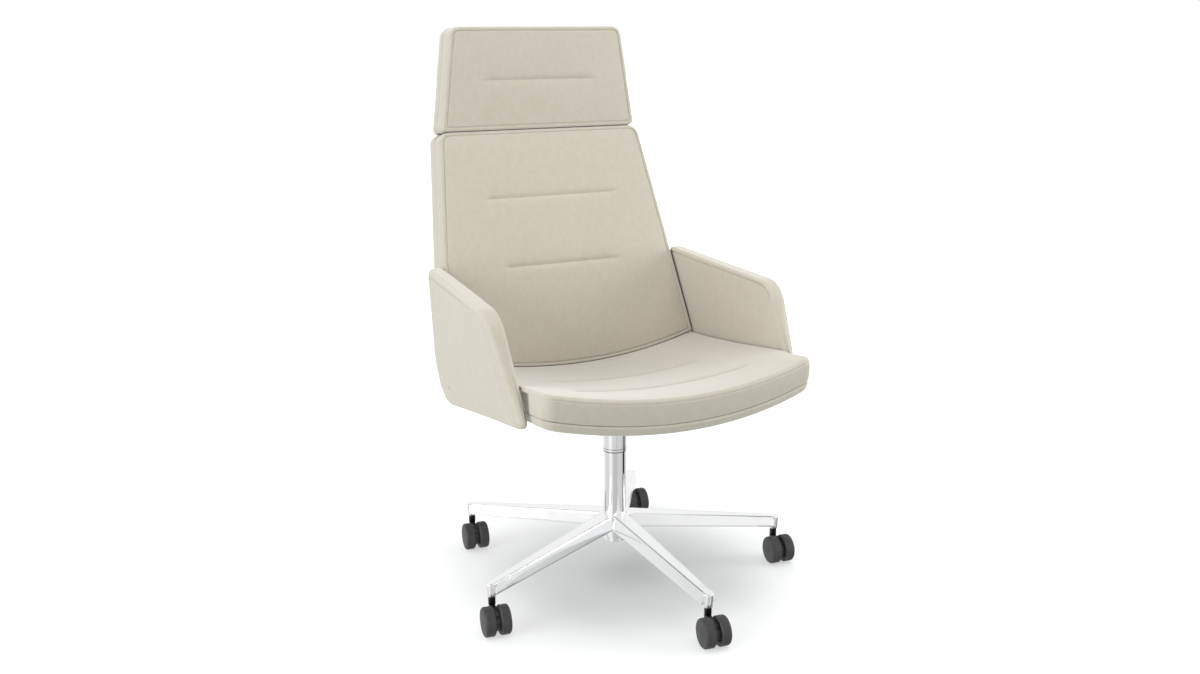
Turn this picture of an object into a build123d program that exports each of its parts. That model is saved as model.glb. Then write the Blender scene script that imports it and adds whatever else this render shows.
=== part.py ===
from build123d import *
import math
import os

# Casters: twin wheels on a trailing centre web, lengths in millimetres, angles in degrees
wheel_diameter = 60.0
wheel_width = 22.5
wheel_rim_radius = 5.0
wheel_face_dome = 1.2
web_width = 9.7
web_radius = 21.0
wheel_side_gap = 0.5
caster_trail = 28.9
axle_heading = -6.48
axle_diameter = 6.0
stem_diameter = 11.0
stem_collar_diameter = 15.0
stem_neck_diameter = 6.0
stem_engagement = 22.0
stem_standoff = 10.6

# Star base: five hollow legs with a flat top facet
leg_count = 5
first_leg_angle = 56.85
stem_circle_radius = 365.0
boss_height = 28.4
boss_top_diameter = 22.0
boss_bottom_diameter = 19.5
leg_rise = 44.0
leg_top_width_hub = 35.4
leg_top_width_tip = 18.0
leg_flare = 6.0
leg_depth_hub = 30.0
leg_depth_tip = 22.0
leg_wall = 3.6
hub_diameter = 60.0
hub_fillet = 12.0

# Gas-lift column
tube_diameter = 49.6
tube_wall = 3.3
tube_taper = 1.3
tube_length = 219.0
tube_floor = 4.0
sleeve_wall = 0.9
sleeve_gap = 0.3
sleeve_length = 46.0
sleeve_overlap = 15.0
cylinder_diameter = 28.0
cylinder_wall = 2.0
cylinder_cap = 8.0
rod_diameter = 10.0
rod_neck_diameter = 8.0
bearing_height = 6.0
bearing_diameter = 24.0
buffer_height = 10.0
clip_height = 1.6
bush_length = 60.0
lift_travel = 100.0
piston_height = 12.0

# Tilt mechanism
housing_width = 92.0
housing_wall = 2.5
housing_rear_y = 60.0
socket_diameter = 44.0
socket_drop = 28.0
socket_rise = 8.0
pivot_y = -110.0
pivot_rise = 44.0
tilt_shaft_diameter = 14.0
tilt_range = 12.0
ear_thickness = 5.0
ear_radius = 17.0
ear_side_gap = 0.5
carrier_thickness = 4.0
carrier_width = 150.0
carrier_rear_y = 95.0
carrier_clearance = 22.6
spring_diameter = 24.0
spring_length = 34.0
knob_diameter = 30.0
knob_length = 26.0
knob_y = -70.0
knob_rise = 35.0
screw_diameter = 9.0
pin_diameter = 8.0
pin_stand = 6.0
pin_play = 1.0
lever_diameter = 7.0
lever_reach = 190.0
lever_block_length = 9.5
lever_pin_diameter = 4.0
lever_pull = 8.0
grip_length = 78.0
grip_width = 30.0
grip_thickness = 8.5

# Seat: two upholstered layers on a dished, rearward-sloping datum
seat_slope = 6.2
seat_front_y = -329.0
seat_rear_y = 240.0
seat_side_half_width = 284.0
seat_wing = 9.0
seat_step_y = -205.0
seat_front_bow = 40.0
dish_half_width = 300.0
dish_rise = 39.0
pad_height = 20.0
cushion_height = 43.0
cushion_overhang = 12.0
cushion_edge_radius = 9.0
cushion_front_lift = 9.0
cushion_lift_rear_y = 80.0
pad_edge_radius = 5.0
board_thickness = 12.0
board_margin = 84.0
board_front_y = -250.0
board_rear_y = 200.0
seat_line_rear_y = -54.0
seat_line_rear_half = 178.0
seat_line_front_y = -214.0
seat_line_front_half = 206.0
line_radius = 6.0
line_depth = 2.6

# Back and headrest: cushion in front, shell behind, meeting on a seam plane
back_recline = 20.0
back_front_y = 188.0
back_rise = 46.0
back_height = 506.0
back_overhang = 21.0
back_taper = 63.3
back_cushion_depth = 45.0
back_shell_depth = 46.0
back_corner_radius = 26.0
back_tail = 100.0
back_line_upper = 352.0
back_line_upper_half = 162.0
back_line_lower = 195.0
back_line_lower_half = 142.0
headrest_recline = 3.1
headrest_gap = 5.0
headrest_height = 221.0
headrest_step = 4.0
headrest_taper = 31.0
headrest_cushion_depth = 48.0
headrest_shell_depth = 36.0
headrest_corner_radius = 22.0
headrest_line = 110.0
headrest_line_half = 134.0
edge_draw = 4.0
edge_round = 12.0

# Arm panels: front edge, rear edge, inner face and thickness
arm_front_low_y = -236.0
arm_front_high_y = -118.0
arm_front_low_rise = 24.0
arm_front_high_rise = 212.0
arm_rear_low_y = 180.0
arm_rear_high_y = 264.0
arm_rear_low_rise = -18.0
arm_rear_high_rise = 230.0
arm_front_gap = 2.5
arm_front_flare = 6.0
arm_rear_low_gap = 28.5
arm_rear_high_gap = 6.5
arm_thickness_low = 23.0
arm_thickness_high = 38.0
arm_top_crown = 8.0
arm_low_crown = 5.0
arm_side_crown = 3.0

# Steel bars, brackets and fasteners
bar_thickness = 6.0
bar_width = 50.0
back_bar_x = 110.0
back_bar_front_y = 60.0
back_bar_height = 150.0
headrest_bar_x = 90.0
headrest_bar_reach = 95.0
headrest_bar_thickness = 4.0
bracket_thickness = 4.0
bracket_front_y = -60.0
bracket_rear_y = 40.0
bracket_height = 52.0
bracket_reach = 110.0
bolt_diameter = 8.0
bolt_head_diameter = 13.0
bolt_head_height = 5.5
bolt_length = 14.0

# Fits
run_clearance = 0.05
fit_clearance = 0.02
body_gap = 0.3
slot_clearance = 0.3
seat_clearance = 0.15
upholstery_gap = 0.8

# Widths that follow from the seat between the arms
seat_half_width = seat_side_half_width + seat_wing
board_half_width = seat_side_half_width - board_margin
back_half_bottom = seat_side_half_width + back_overhang
back_half_top = back_half_bottom - back_taper
headrest_half_bottom = back_half_top - headrest_step
headrest_half_top = headrest_half_bottom - headrest_taper
arm_inner_front = seat_half_width + arm_front_gap
arm_inner_rear_low = seat_side_half_width + arm_rear_low_gap
arm_inner_rear_high = seat_side_half_width + arm_rear_high_gap

# Heights that follow from the sizes above
wheel_radius = wheel_diameter / 2
boss_bottom = wheel_diameter + stem_standoff
tip_top = boss_bottom + boss_height
tube_bottom = boss_bottom + 7.4
tube_top = tube_bottom + tube_length
sleeve_bottom = tube_top - sleeve_overlap
housing_floor = sleeve_bottom + sleeve_length
pivot_z = housing_floor + pivot_rise
slope = math.tan(math.radians(seat_slope))
seat_low = pivot_z + carrier_clearance + carrier_thickness + slope * (pivot_y - seat_front_y)
seat_top = pad_height + cushion_height


def rod(diameter, low, high):
    """Upright cylinder between two heights on the Z axis."""
    return Pos(0, 0, low) * Cylinder(diameter / 2, high - low, align=(Align.CENTER, Align.CENTER, Align.MIN))


def cross_rod(diameter, start, stop):
    """Cylinder along X between two positions, on the X axis."""
    return Rot(0, 90, 0) * rod(diameter, start, stop)


def block(x0, x1, y0, y1, z0, z1):
    """Box between two corners."""
    return Pos((x0 + x1) / 2, (y0 + y1) / 2, (z0 + z1) / 2) * Box(x1 - x0, y1 - y0, z1 - z0)


def turned(points):
    """Solid of revolution about Z from radius and height pairs."""
    return revolve(Plane.XZ * make_face(Polyline(*points, close=True)), Axis.Z)


def side_plate(points, x0, x1):
    """Plate of a side-view outline given in Y and Z, between two X positions."""
    outline = Plane.YZ.offset(x0) * make_face(Polyline(*points, close=True))
    return extrude(outline, x1 - x0)


# Star base: legs, hub core and bosses under one shallow cone
def top_z(radius):
    """Height of the leg tops at a radius."""
    return tip_top + leg_rise * (1 - radius / stem_circle_radius)


def half_top(radius):
    """Half width of the top facet at a radius."""
    share = radius / stem_circle_radius
    return (leg_top_width_hub * (1 - share) + leg_top_width_tip * share) / 2


def leg_depth(radius):
    """Depth of a leg below its top facet at a radius."""
    share = radius / stem_circle_radius
    return leg_depth_hub * (1 - share) + leg_depth_tip * share


def leg_section(radius, inset, above, below):
    """Trapezoid across a leg, drawn in by inset, from above to below its top facet."""
    high = half_top(radius) - inset - leg_flare * above / leg_depth(radius)
    low = half_top(radius) - inset + leg_flare * below / leg_depth(radius)
    top = top_z(radius) + above
    bottom = top_z(radius) - below
    corners = [(radius, -low, bottom), (radius, low, bottom), (radius, high, top), (radius, -high, top)]
    return make_face(Polyline(*corners, close=True))


hub_low = top_z(0) - leg_depth_hub - 24.0
leg = loft([leg_section(0, 0, 2, leg_depth_hub), leg_section(stem_circle_radius, 0, 2, leg_depth_tip)], ruled=True)
inner_start = hub_diameter / 2 - 6
inner_end = stem_circle_radius - boss_top_diameter / 2 - leg_wall
hollow = loft(
    [
        leg_section(inner_start, leg_wall, -leg_wall, leg_depth(inner_start) + 1),
        leg_section(inner_end, leg_wall, -leg_wall, leg_depth(inner_end) + 1),
    ],
    ruled=True,
)
boss = Pos(stem_circle_radius, 0, 0) * turned(
    [
        (0, boss_bottom),
        (boss_bottom_diameter / 2, boss_bottom),
        (boss_top_diameter / 2, tip_top + 4),
        (0, tip_top + 4),
    ]
)
boss_bore = Pos(stem_circle_radius, 0, 0) * rod(
    stem_diameter + 2 * run_clearance, boss_bottom - 1, boss_bottom + stem_engagement + 1
)
core_half = half_top(80) - 0.3
leg_plan = make_face(
    Polyline((0, -core_half), (80, -core_half), (80, core_half), (0, core_half), close=True)
)
hub_plan = Circle(tube_diameter / 2 + 1)
for i in range(leg_count):
    hub_plan += Rot(0, 0, first_leg_angle + 360 / leg_count * i) * leg_plan
corners = [v for v in hub_plan.vertices() if math.hypot(v.X, v.Y) < 45]
hub_plan = fillet(corners, hub_fillet)
star = Pos(0, 0, top_z(0) - leg_depth_hub) * extrude(hub_plan, leg_depth_hub + 10)
for i in range(leg_count):
    turn = Rot(0, 0, first_leg_angle + 360 / leg_count * i)
    star += turn * leg
    star += turn * boss
for i in range(leg_count):
    turn = Rot(0, 0, first_leg_angle + 360 / leg_count * i)
    star -= turn * hollow
    star -= turn * boss_bore
star += rod(hub_diameter, hub_low, top_z(0) - leg_wall)
reach = stem_circle_radius + boss_top_diameter
star &= turned([(0, 0), (reach, 0), (reach, top_z(reach)), (0, top_z(0))])
tube_low_radius = tube_diameter / 2 - tube_taper
taper_top = top_z(tube_diameter / 2)
star -= turned(
    [
        (0, hub_low - 1),
        (tube_low_radius + fit_clearance, hub_low - 1),
        (tube_low_radius + fit_clearance, tube_bottom),
        (tube_diameter / 2 + fit_clearance, taper_top),
        (tube_diameter / 2 + fit_clearance, top_z(0) + 1),
        (0, top_z(0) + 1),
    ]
)
star_base = star

# Stand tube with its floor, thrust bearing, guide bush
tube_bore = tube_diameter / 2 - tube_wall
stand_tube = turned(
    [
        (rod_neck_diameter / 2 + run_clearance, tube_bottom),
        (tube_low_radius, tube_bottom),
        (tube_diameter / 2, taper_top),
        (tube_diameter / 2, tube_top - 1),
        (tube_diameter / 2 - 1, tube_top),
        (tube_bore, tube_top),
        (tube_bore, tube_bottom + tube_floor),
        (rod_neck_diameter / 2 + run_clearance, tube_bottom + tube_floor),
    ]
)
bearing_low = tube_bottom + tube_floor
bearing_high = bearing_low + bearing_height
thrust_bearing = rod(bearing_diameter, bearing_low, bearing_high)
thrust_bearing -= rod(rod_neck_diameter + 2 * run_clearance, bearing_low - 1, bearing_high + 1)
guide_bush = rod(2 * (tube_bore - fit_clearance), tube_top - bush_length, tube_top)
guide_bush -= rod(cylinder_diameter + 2 * run_clearance, tube_top - bush_length - 1, tube_top + 1)

# Piston rod with its piston, clip under the tube floor, rubber buffer on the rod
shoulder = bearing_high + run_clearance
buffer_top = shoulder + buffer_height
cylinder_low = buffer_top + body_gap
piston_low = cylinder_low + cylinder_cap + lift_travel + 4
piston_high = piston_low + piston_height
clip_low = tube_bottom - body_gap - clip_height
piston_rod = rod(rod_neck_diameter, clip_low - 1.5, shoulder)
piston_rod += rod(rod_diameter, shoulder, piston_low)
piston_rod += rod(cylinder_diameter - 2 * cylinder_wall - 2 * run_clearance, piston_low, piston_high)
retaining_clip = rod(rod_neck_diameter + 7, clip_low, clip_low + clip_height)
retaining_clip -= rod(rod_neck_diameter + 2 * fit_clearance, clip_low - 1, clip_low + clip_height + 1)
rubber_buffer = rod(bearing_diameter - 2, shoulder + fit_clearance, buffer_top)
rubber_buffer -= rod(rod_diameter + 2 * fit_clearance, shoulder - 1, buffer_top + 1)

# Gas cylinder, release pin, column sleeve
cylinder_top = housing_floor + 11.5
cylinder_inner_top = cylinder_top - 32.0
gas_cylinder = rod(cylinder_diameter, cylinder_low, cylinder_top)
gas_cylinder -= rod(cylinder_diameter - 2 * cylinder_wall, cylinder_low + cylinder_cap, cylinder_inner_top)
gas_cylinder -= rod(rod_diameter + 2 * run_clearance, cylinder_low - 1, cylinder_low + cylinder_cap + 1)
pin_low = cylinder_top - 16.0
pin_top = cylinder_top + pin_stand - pin_play
gas_cylinder -= rod(pin_diameter + 2 * run_clearance, pin_low - 8, cylinder_top + 1)
release_pin = rod(pin_diameter, pin_low, pin_top)
sleeve_inner = tube_diameter / 2 + sleeve_gap
column_sleeve = turned(
    [
        (sleeve_inner + 0.4, sleeve_bottom),
        (sleeve_inner + sleeve_wall, sleeve_bottom + 1.2),
        (sleeve_inner + sleeve_wall, housing_floor),
        (sleeve_inner, housing_floor),
        (sleeve_inner, sleeve_bottom + 1.2),
    ]
)

# Tilt housing: wedge tray with the taper socket for the gas cylinder
half_housing = housing_width / 2
front_y = pivot_y - 24
top_front = pivot_z + 15
top_rear = housing_floor + 5
tray_outline = [
    (housing_rear_y, housing_floor),
    (-28, housing_floor),
    (pivot_y - 12, pivot_z - 12),
    (front_y, pivot_z + 2),
    (front_y + 4, top_front),
    (pivot_y, top_front),
    (housing_rear_y, top_rear),
]
tray_space = [
    (housing_rear_y - housing_wall, housing_floor + housing_wall),
    (-28, housing_floor + housing_wall),
    (pivot_y - 12, pivot_z - 12 + housing_wall),
    (front_y + housing_wall, pivot_z + 3),
    (front_y + housing_wall + 4, top_front + 20),
    (housing_rear_y - housing_wall, top_front + 20),
]
mech_housing = side_plate(tray_outline, -half_housing, half_housing)
mech_housing -= side_plate(tray_space, -half_housing + housing_wall, half_housing - housing_wall)
mech_housing += rod(socket_diameter, housing_floor - socket_drop, housing_floor + socket_rise)
mech_housing -= rod(cylinder_diameter + 2 * fit_clearance, housing_floor - socket_drop - 1, cylinder_top + 10)
shaft_at = Pos(0, pivot_y, pivot_z)
half_shaft = half_housing + ear_side_gap + ear_thickness + 4
tilt_shaft = shaft_at * cross_rod(tilt_shaft_diameter, -half_shaft, half_shaft)
mech_housing -= shaft_at * cross_rod(tilt_shaft_diameter + 2 * fit_clearance, -half_shaft - 5, half_shaft + 5)
torsion_springs = []
for side in (-1, 1):
    near = side * 2.0
    far = side * (2.0 + spring_length)
    coil = shaft_at * cross_rod(spring_diameter, min(near, far), max(near, far))
    coil -= shaft_at * cross_rod(tilt_shaft_diameter + 2 * fit_clearance, -half_shaft, half_shaft)
    torsion_springs.append(coil)

# Tension knob with its screw on the left, height lever on the right
knob_at = Pos(0, knob_y, housing_floor + knob_rise)
knob_near = -half_housing - 2
knob_far = knob_near - knob_length
tension_screw = knob_at * cross_rod(screw_diameter, knob_far + 6, -half_housing + 14)
mech_housing -= knob_at * cross_rod(screw_diameter + 2 * run_clearance, -half_housing - 5, -half_housing + 5)
tension_knob = knob_at * cross_rod(knob_diameter, knob_far, knob_near)
tension_knob = fillet(tension_knob.edges().filter_by(GeomType.CIRCLE), 2)
for i in range(8):
    flute = knob_at * Rot(45 * i, 0, 0) * Pos(0, 0, knob_diameter / 2 + 1) * cross_rod(6, knob_far - 1, knob_near + 1)
    tension_knob -= flute
tension_knob -= knob_at * cross_rod(screw_diameter + 2 * fit_clearance, knob_far + 6, knob_near + 1)
lever_z = cylinder_top + pin_stand + lever_diameter / 2
lever_at = Pos(0, 0, lever_z)
lever_end = lever_reach + half_housing
block_low = socket_diameter / 2 + 2.5
block_high = block_low + lever_block_length
block_floor = housing_floor + housing_wall + body_gap
slot_half = lever_diameter / 2 + body_gap
pin_place = Pos((block_low + block_high) / 2, 0, lever_z) * Rot(90, 0, 0)
height_lever = lever_at * cross_rod(lever_diameter, -pin_diameter / 2 - lever_pull - 1, lever_end - 12)
height_lever -= pin_place * rod(lever_pin_diameter + 2 * run_clearance, -20, 20)
pivot_block = block(block_low, block_high, -9, 9, block_floor, lever_z + 4.5)
pivot_block -= block(block_low - 1, block_high + 1, -slot_half, slot_half, lever_z - slot_half - 1.5, lever_z + 10)
pivot_block += pin_place * rod(lever_pin_diameter, -9, 9)
slot_at = block(half_housing - 5, half_housing + 5, -slot_half, slot_half, lever_z - 5, lever_z + 12)
mech_housing -= slot_at
grip_near = lever_end - grip_length
grip_plan = Pos(grip_near + grip_length / 2, 0, 0) * RectangleRounded(grip_length, grip_width, 10)
lever_grip = Pos(0, 0, lever_z - grip_thickness / 2) * extrude(grip_plan, grip_thickness)
lever_grip = fillet(lever_grip.edges().filter_by(Plane.XY), 2.5)
lever_grip += lever_at * cross_rod(lever_diameter + 5, grip_near - 14, grip_near + 14)
lever_grip -= lever_at * cross_rod(lever_diameter + 2 * fit_clearance, grip_near - 20, lever_end - 12)


# Seat layers on the dished datum
dish_radius = (dish_half_width**2 + dish_rise**2) / (2 * dish_rise)


def dish(x):
    """Rise of the dished seat at a distance from its middle."""
    return dish_radius - math.sqrt(dish_radius**2 - x**2)


def seat_z(y, x=0.0):
    """Height of the seat underside."""
    return seat_low - slope * (y - seat_front_y) + dish(x)


def dish_slab(low, high):
    """Solid between two dished surfaces at heights above the seat underside."""
    start = seat_front_y - 60
    length = seat_rear_y + 140 - start
    half = dish_half_width + 60
    rise = dish(half)
    base = seat_z(start)
    curve = [
        ThreePointArc((-half, start, base + low + rise), (0, start, base + low), (half, start, base + low + rise)),
        Line((half, start, base + low + rise), (half, start, base + high + rise)),
        ThreePointArc((half, start, base + high + rise), (0, start, base + high), (-half, start, base + high + rise)),
        Line((-half, start, base + high + rise), (-half, start, base + low + rise)),
    ]
    return extrude(make_face(curve), length, dir=(0, length, -slope * length))


def front_lift(y):
    """Extra height of the cushion top towards its front edge."""
    return cushion_front_lift * max(0.0, (cushion_lift_rear_y - y) / (cushion_lift_rear_y - seat_front_y))


def seat_section(x, front, rear, low, high, soft, raised):
    """Rounded side-view section of a seat layer at one X position, its top raised to the front by a share."""
    radius = min(soft, (high - low) / 2 - 0.5)
    bend = radius * (1 - math.sqrt(0.5))
    knee = min(cushion_lift_rear_y, rear - radius - (rear - front) / 4)

    def at(y, height):
        return (x, y, seat_z(y, x) + height)

    def top(y, drop=0.0):
        return at(y, high + raised * front_lift(y) - drop)

    edges = [
        Line(at(rear - radius, low), at(front + radius, low)),
        ThreePointArc(at(front + radius, low), at(front + bend, low + bend), at(front, low + radius)),
        Line(at(front, low + radius), top(front, radius)),
        ThreePointArc(top(front, radius), top(front + bend, bend), top(front + radius)),
        Line(top(front + radius), top(knee)),
        Line(top(knee), top(rear - radius)),
        ThreePointArc(top(rear - radius), top(rear - bend, bend), top(rear, radius)),
        Line(top(rear, radius), at(rear, low + radius)),
        ThreePointArc(at(rear, low + radius), at(rear - bend, low + bend), at(rear - radius, low)),
    ]
    return make_face(edges)


def seat_layer(low, high, front_y, grow, soft, raised):
    """Loft of side-view sections across the seat, rounded to its sides and stepped in beside the arms."""
    flat = seat_side_half_width - 6
    step = seat_side_half_width + grow
    wing = seat_half_width + grow
    plan = [
        (0.0, 0.0, seat_rear_y, 0.0),
        (flat * 0.25, 0.0, seat_rear_y, 0.0),
        (flat * 0.5, 0.0, seat_rear_y, 0.0),
        (flat * 0.72, 0.0, seat_rear_y, 0.0),
        (flat * 0.9, 0.0, seat_rear_y - 6, 0.0),
        (flat, 2.0, seat_rear_y - 20, 0.0),
        (step, 6.0, seat_rear_y - 32, soft * 0.35),
        (step + (wing - step) * 0.4, 10.0, seat_step_y, soft * 0.55),
        (step + (wing - step) * 0.8, 16.0, seat_step_y - 12, soft * 0.85),
        (wing, 24.0, seat_step_y - 26, soft * 1.25),
    ]
    sections = []
    for side in (-1, 1):
        for x, back_off, rear, shrink in plan[::-1] if side < 0 else plan[1:]:
            front = front_y + seat_front_bow * (x / seat_half_width) ** 2 + back_off
            sections.append(seat_section(side * x, front, rear, low + shrink, high - shrink, soft, raised))
    return loft(sections, ruled=True)


def seat_arc(y, half, lift):
    """Arc across the seat top at a depth, lift above the cushion."""
    above = seat_top + front_lift(y) + lift
    end = seat_z(y, half) + above
    return ThreePointArc((-half, y, end), (0, y, seat_z(y) + above), (half, y, end))


def groove(path):
    """Round bar along a path, for a stitched line."""
    start = path @ 0
    return sweep(Plane(origin=start, z_dir=path % 0) * Circle(line_radius), path)


board_block = block(
    -board_half_width, board_half_width, board_front_y, board_rear_y, seat_low - 200, seat_low + 200
)
board_space = block(
    -board_half_width - slot_clearance,
    board_half_width + slot_clearance,
    board_front_y - slot_clearance,
    board_rear_y + slot_clearance,
    seat_low - 200,
    seat_low + 200,
)
seat_board = dish_slab(0, board_thickness - fit_clearance) & board_block
seat_pad = seat_layer(0, pad_height, seat_front_y, -4.0, pad_edge_radius, 0.0)
seat_pad -= dish_slab(-1, board_thickness) & board_space
cushion_front_y = seat_front_y - cushion_overhang
seat_cushion = seat_layer(pad_height + fit_clearance, seat_top, cushion_front_y, 0.0, cushion_edge_radius, 1.0)
line_lift = line_radius - line_depth
seat_cushion -= groove(seat_arc(seat_line_rear_y, seat_line_rear_half, line_lift))
seat_cushion -= groove(seat_arc(seat_line_front_y, seat_line_front_half, line_lift))


# Back and headrest: inset outlines lofted along the depth from a seam plane
def lean_plane(recline, front_y, front_z, depth):
    """Seam plane of a leaning cushion whose front face passes a point; its normal looks to the front."""
    lean = math.radians(recline)
    origin = (0, front_y + depth * math.cos(lean), front_z - depth * math.sin(lean))
    return Plane(origin=origin, x_dir=(1, 0, 0), z_dir=(0, -math.cos(lean), math.sin(lean)))


def panel(half_low, half_high, low, high, radius, inset):
    """Rounded trapezoid of a back panel, drawn in by inset."""
    points = [
        (-half_low + inset, low + inset),
        (half_low - inset, low + inset),
        (half_high - inset, high - inset),
        (-half_high + inset, high - inset),
    ]
    face = make_face(Polyline(*points, close=True))
    return fillet(face.vertices(), radius)


def layer(plane, sizes, stack):
    """Loft through inset panels at depths from the seam plane."""
    return loft([plane.offset(depth) * panel(*sizes, inset) for depth, inset in stack])


def front_stack(depth):
    """Depths and insets of a cushion: drawn in at the seam, full in the middle, rounded to the face."""
    round_off = edge_round
    return [
        (fit_clearance, edge_draw),
        (depth * 0.25, 0),
        (depth - round_off, 0.3),
        (depth - round_off / 3, edge_draw),
        (depth, edge_round),
    ]


def rear_stack(depth):
    """The same behind the seam, with a softer edge."""
    return [
        (0, edge_draw),
        (-depth * 0.25, 0),
        (-depth * 0.6, 1.5),
        (-depth * 0.88, edge_round * 0.8),
        (-depth, edge_round * 1.9),
    ]


def straight_line(plane, depth, height, half):
    """Round bar across a panel, for a stitched line."""
    return plane * Pos(0, height, depth + line_lift) * cross_rod(2 * line_radius, -half, half)


back_plane = lean_plane(back_recline, back_front_y, seat_low + back_rise, back_cushion_depth)
widen = (back_half_bottom - back_half_top) / back_height
back_sizes = (back_half_bottom + widen * back_tail, back_half_top, -back_tail, back_height, back_corner_radius)
seat_under_back = dish_slab(-300, seat_top + upholstery_gap)
back_cushion = layer(back_plane, back_sizes, front_stack(back_cushion_depth)) - seat_under_back
back_cushion -= straight_line(back_plane, back_cushion_depth, back_line_upper, back_line_upper_half)
back_cushion -= straight_line(back_plane, back_cushion_depth, back_line_lower, back_line_lower_half)
behind_seat = seat_rear_y + upholstery_gap
seat_room = seat_under_back & block(-500, 500, -500, behind_seat, seat_low - 400, seat_low + 400)
back_shell = layer(back_plane, back_sizes, rear_stack(back_shell_depth)) - seat_room
shell_low = seat_low + arm_rear_low_rise
back_shell -= block(-500, 500, 0, 900, seat_low - 400, shell_low)

lean = math.radians(back_recline)
headrest_y = back_front_y + back_height * math.sin(lean)
headrest_z = seat_low + back_rise + back_height * math.cos(lean) + headrest_gap
headrest_plane = lean_plane(headrest_recline, headrest_y, headrest_z, headrest_cushion_depth)
headrest_sizes = (headrest_half_bottom, headrest_half_top, 0, headrest_height, headrest_corner_radius)
headrest_cushion = layer(headrest_plane, headrest_sizes, front_stack(headrest_cushion_depth))
headrest_cushion -= straight_line(headrest_plane, headrest_cushion_depth, headrest_line, headrest_line_half)
headrest_shell = layer(headrest_plane, headrest_sizes, rear_stack(headrest_shell_depth))


# Arm panels: sections across the panel, lofted from the front edge to the rear edge
def arm_point(along, up):
    """Side-view position of the arm panel, from front to rear and from bottom to top."""
    front_y = arm_front_low_y + (arm_front_high_y - arm_front_low_y) * up
    rear_y = arm_rear_low_y + (arm_rear_high_y - arm_rear_low_y) * up
    front_z = arm_front_low_rise + (arm_front_high_rise - arm_front_low_rise) * up
    rear_z = arm_rear_low_rise + (arm_rear_high_rise - arm_rear_low_rise) * up
    return front_y + (rear_y - front_y) * along, seat_low + front_z + (rear_z - front_z) * along


def arm_inner(along, up):
    """Inner face of the arm panel at the same position."""
    front = arm_inner_front + arm_front_flare * up
    rear = arm_inner_rear_low + (arm_inner_rear_high - arm_inner_rear_low) * up
    return front + (rear - front) * along


def arm_section(along, low, high, fullness):
    """Closed section of the arm panel, thinned by its fullness."""
    y0, z0 = arm_point(along, low)
    y1, z1 = arm_point(along, high)
    run = math.hypot(y1 - y0, z1 - z0)
    dy = (y1 - y0) / run
    dz = (z1 - z0) / run
    thick_low = arm_thickness_low + (arm_thickness_high - arm_thickness_low) * low
    thick_high = arm_thickness_low + (arm_thickness_high - arm_thickness_low) * high
    in_low = arm_inner(along, low) + thick_low * (1 - fullness) / 2
    in_high = arm_inner(along, high) + thick_high * (1 - fullness) / 2
    out_low = in_low + thick_low * fullness
    out_high = in_high + thick_high * fullness
    top = arm_top_crown * fullness
    bottom = arm_low_crown * fullness
    side_x = (out_low + out_high) / 2 + arm_side_crown * fullness
    edges = [
        Line((in_low, y0, z0), (in_high, y1, z1)),
        ThreePointArc(
            (in_high, y1, z1),
            ((in_high + out_high) / 2, y1 + dy * top, z1 + dz * top),
            (out_high, y1, z1),
        ),
        ThreePointArc((out_high, y1, z1), (side_x, (y0 + y1) / 2, (z0 + z1) / 2), (out_low, y0, z0)),
        ThreePointArc(
            (out_low, y0, z0),
            ((in_low + out_low) / 2, y0 - dy * bottom, z0 - dz * bottom),
            (in_low, y0, z0),
        ),
    ]
    return make_face(edges)


arm_sections = [
    (0.0, 0.07, 0.90, 0.35),
    (0.012, 0.035, 0.945, 0.70),
    (0.035, 0.01, 0.975, 0.93),
    (0.07, 0.0, 0.985, 1.0),
    (0.45, 0.0, 0.985, 1.0),
    (0.86, 0.0, 0.985, 1.0),
    (0.93, 0.05, 0.985, 1.0),
    (0.965, 0.11, 0.97, 0.92),
    (0.985, 0.17, 0.945, 0.70),
    (1.0, 0.25, 0.90, 0.35),
]
arm_left = loft([arm_section(*section) for section in arm_sections], ruled=True)

# Steel arm brackets: a plate under the seat pad and an upright beside the arm panel
bracket_mid = (bracket_front_y + bracket_rear_y) / 2
arm_face_x = min(arm_inner(0.35, 0.0), arm_inner(0.65, 0.25), arm_inner(0.35, 0.25)) - fit_clearance
upright_low = seat_z(bracket_front_y, arm_face_x) - bracket_thickness
bracket = dish_slab(-bracket_thickness, -fit_clearance) & block(
    arm_face_x - bracket_reach, arm_face_x, bracket_front_y, bracket_rear_y, seat_low - 200, seat_low + 200
)
upright = dish_slab(-bracket_thickness, bracket_height) & block(
    arm_face_x - bracket_thickness, arm_face_x, bracket_front_y, bracket_rear_y, seat_low - 200, seat_low + 200
)
bracket += upright


# Bolts: head below, shank up into the piece it holds
def bolt(grip):
    """Bolt along +Z with the underside of its head at the origin."""
    head = extrude(RegularPolygon(bolt_head_diameter / 2, 6), -bolt_head_height)
    return head + rod(bolt_diameter, 0, grip)


def bolt_hole(grip):
    """Room for the shank of a bolt."""
    return rod(bolt_diameter + 2 * fit_clearance, -1, grip + 1)


def seat_frame(x, y, below):
    """Place on the seat underside, lowered by a plate thickness, with Z along its normal."""
    tilt_x = math.degrees(math.asin(x / dish_radius))
    return Pos(x, y, seat_z(y, x) - below) * Rot(-seat_slope, -tilt_x, 0)


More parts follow.
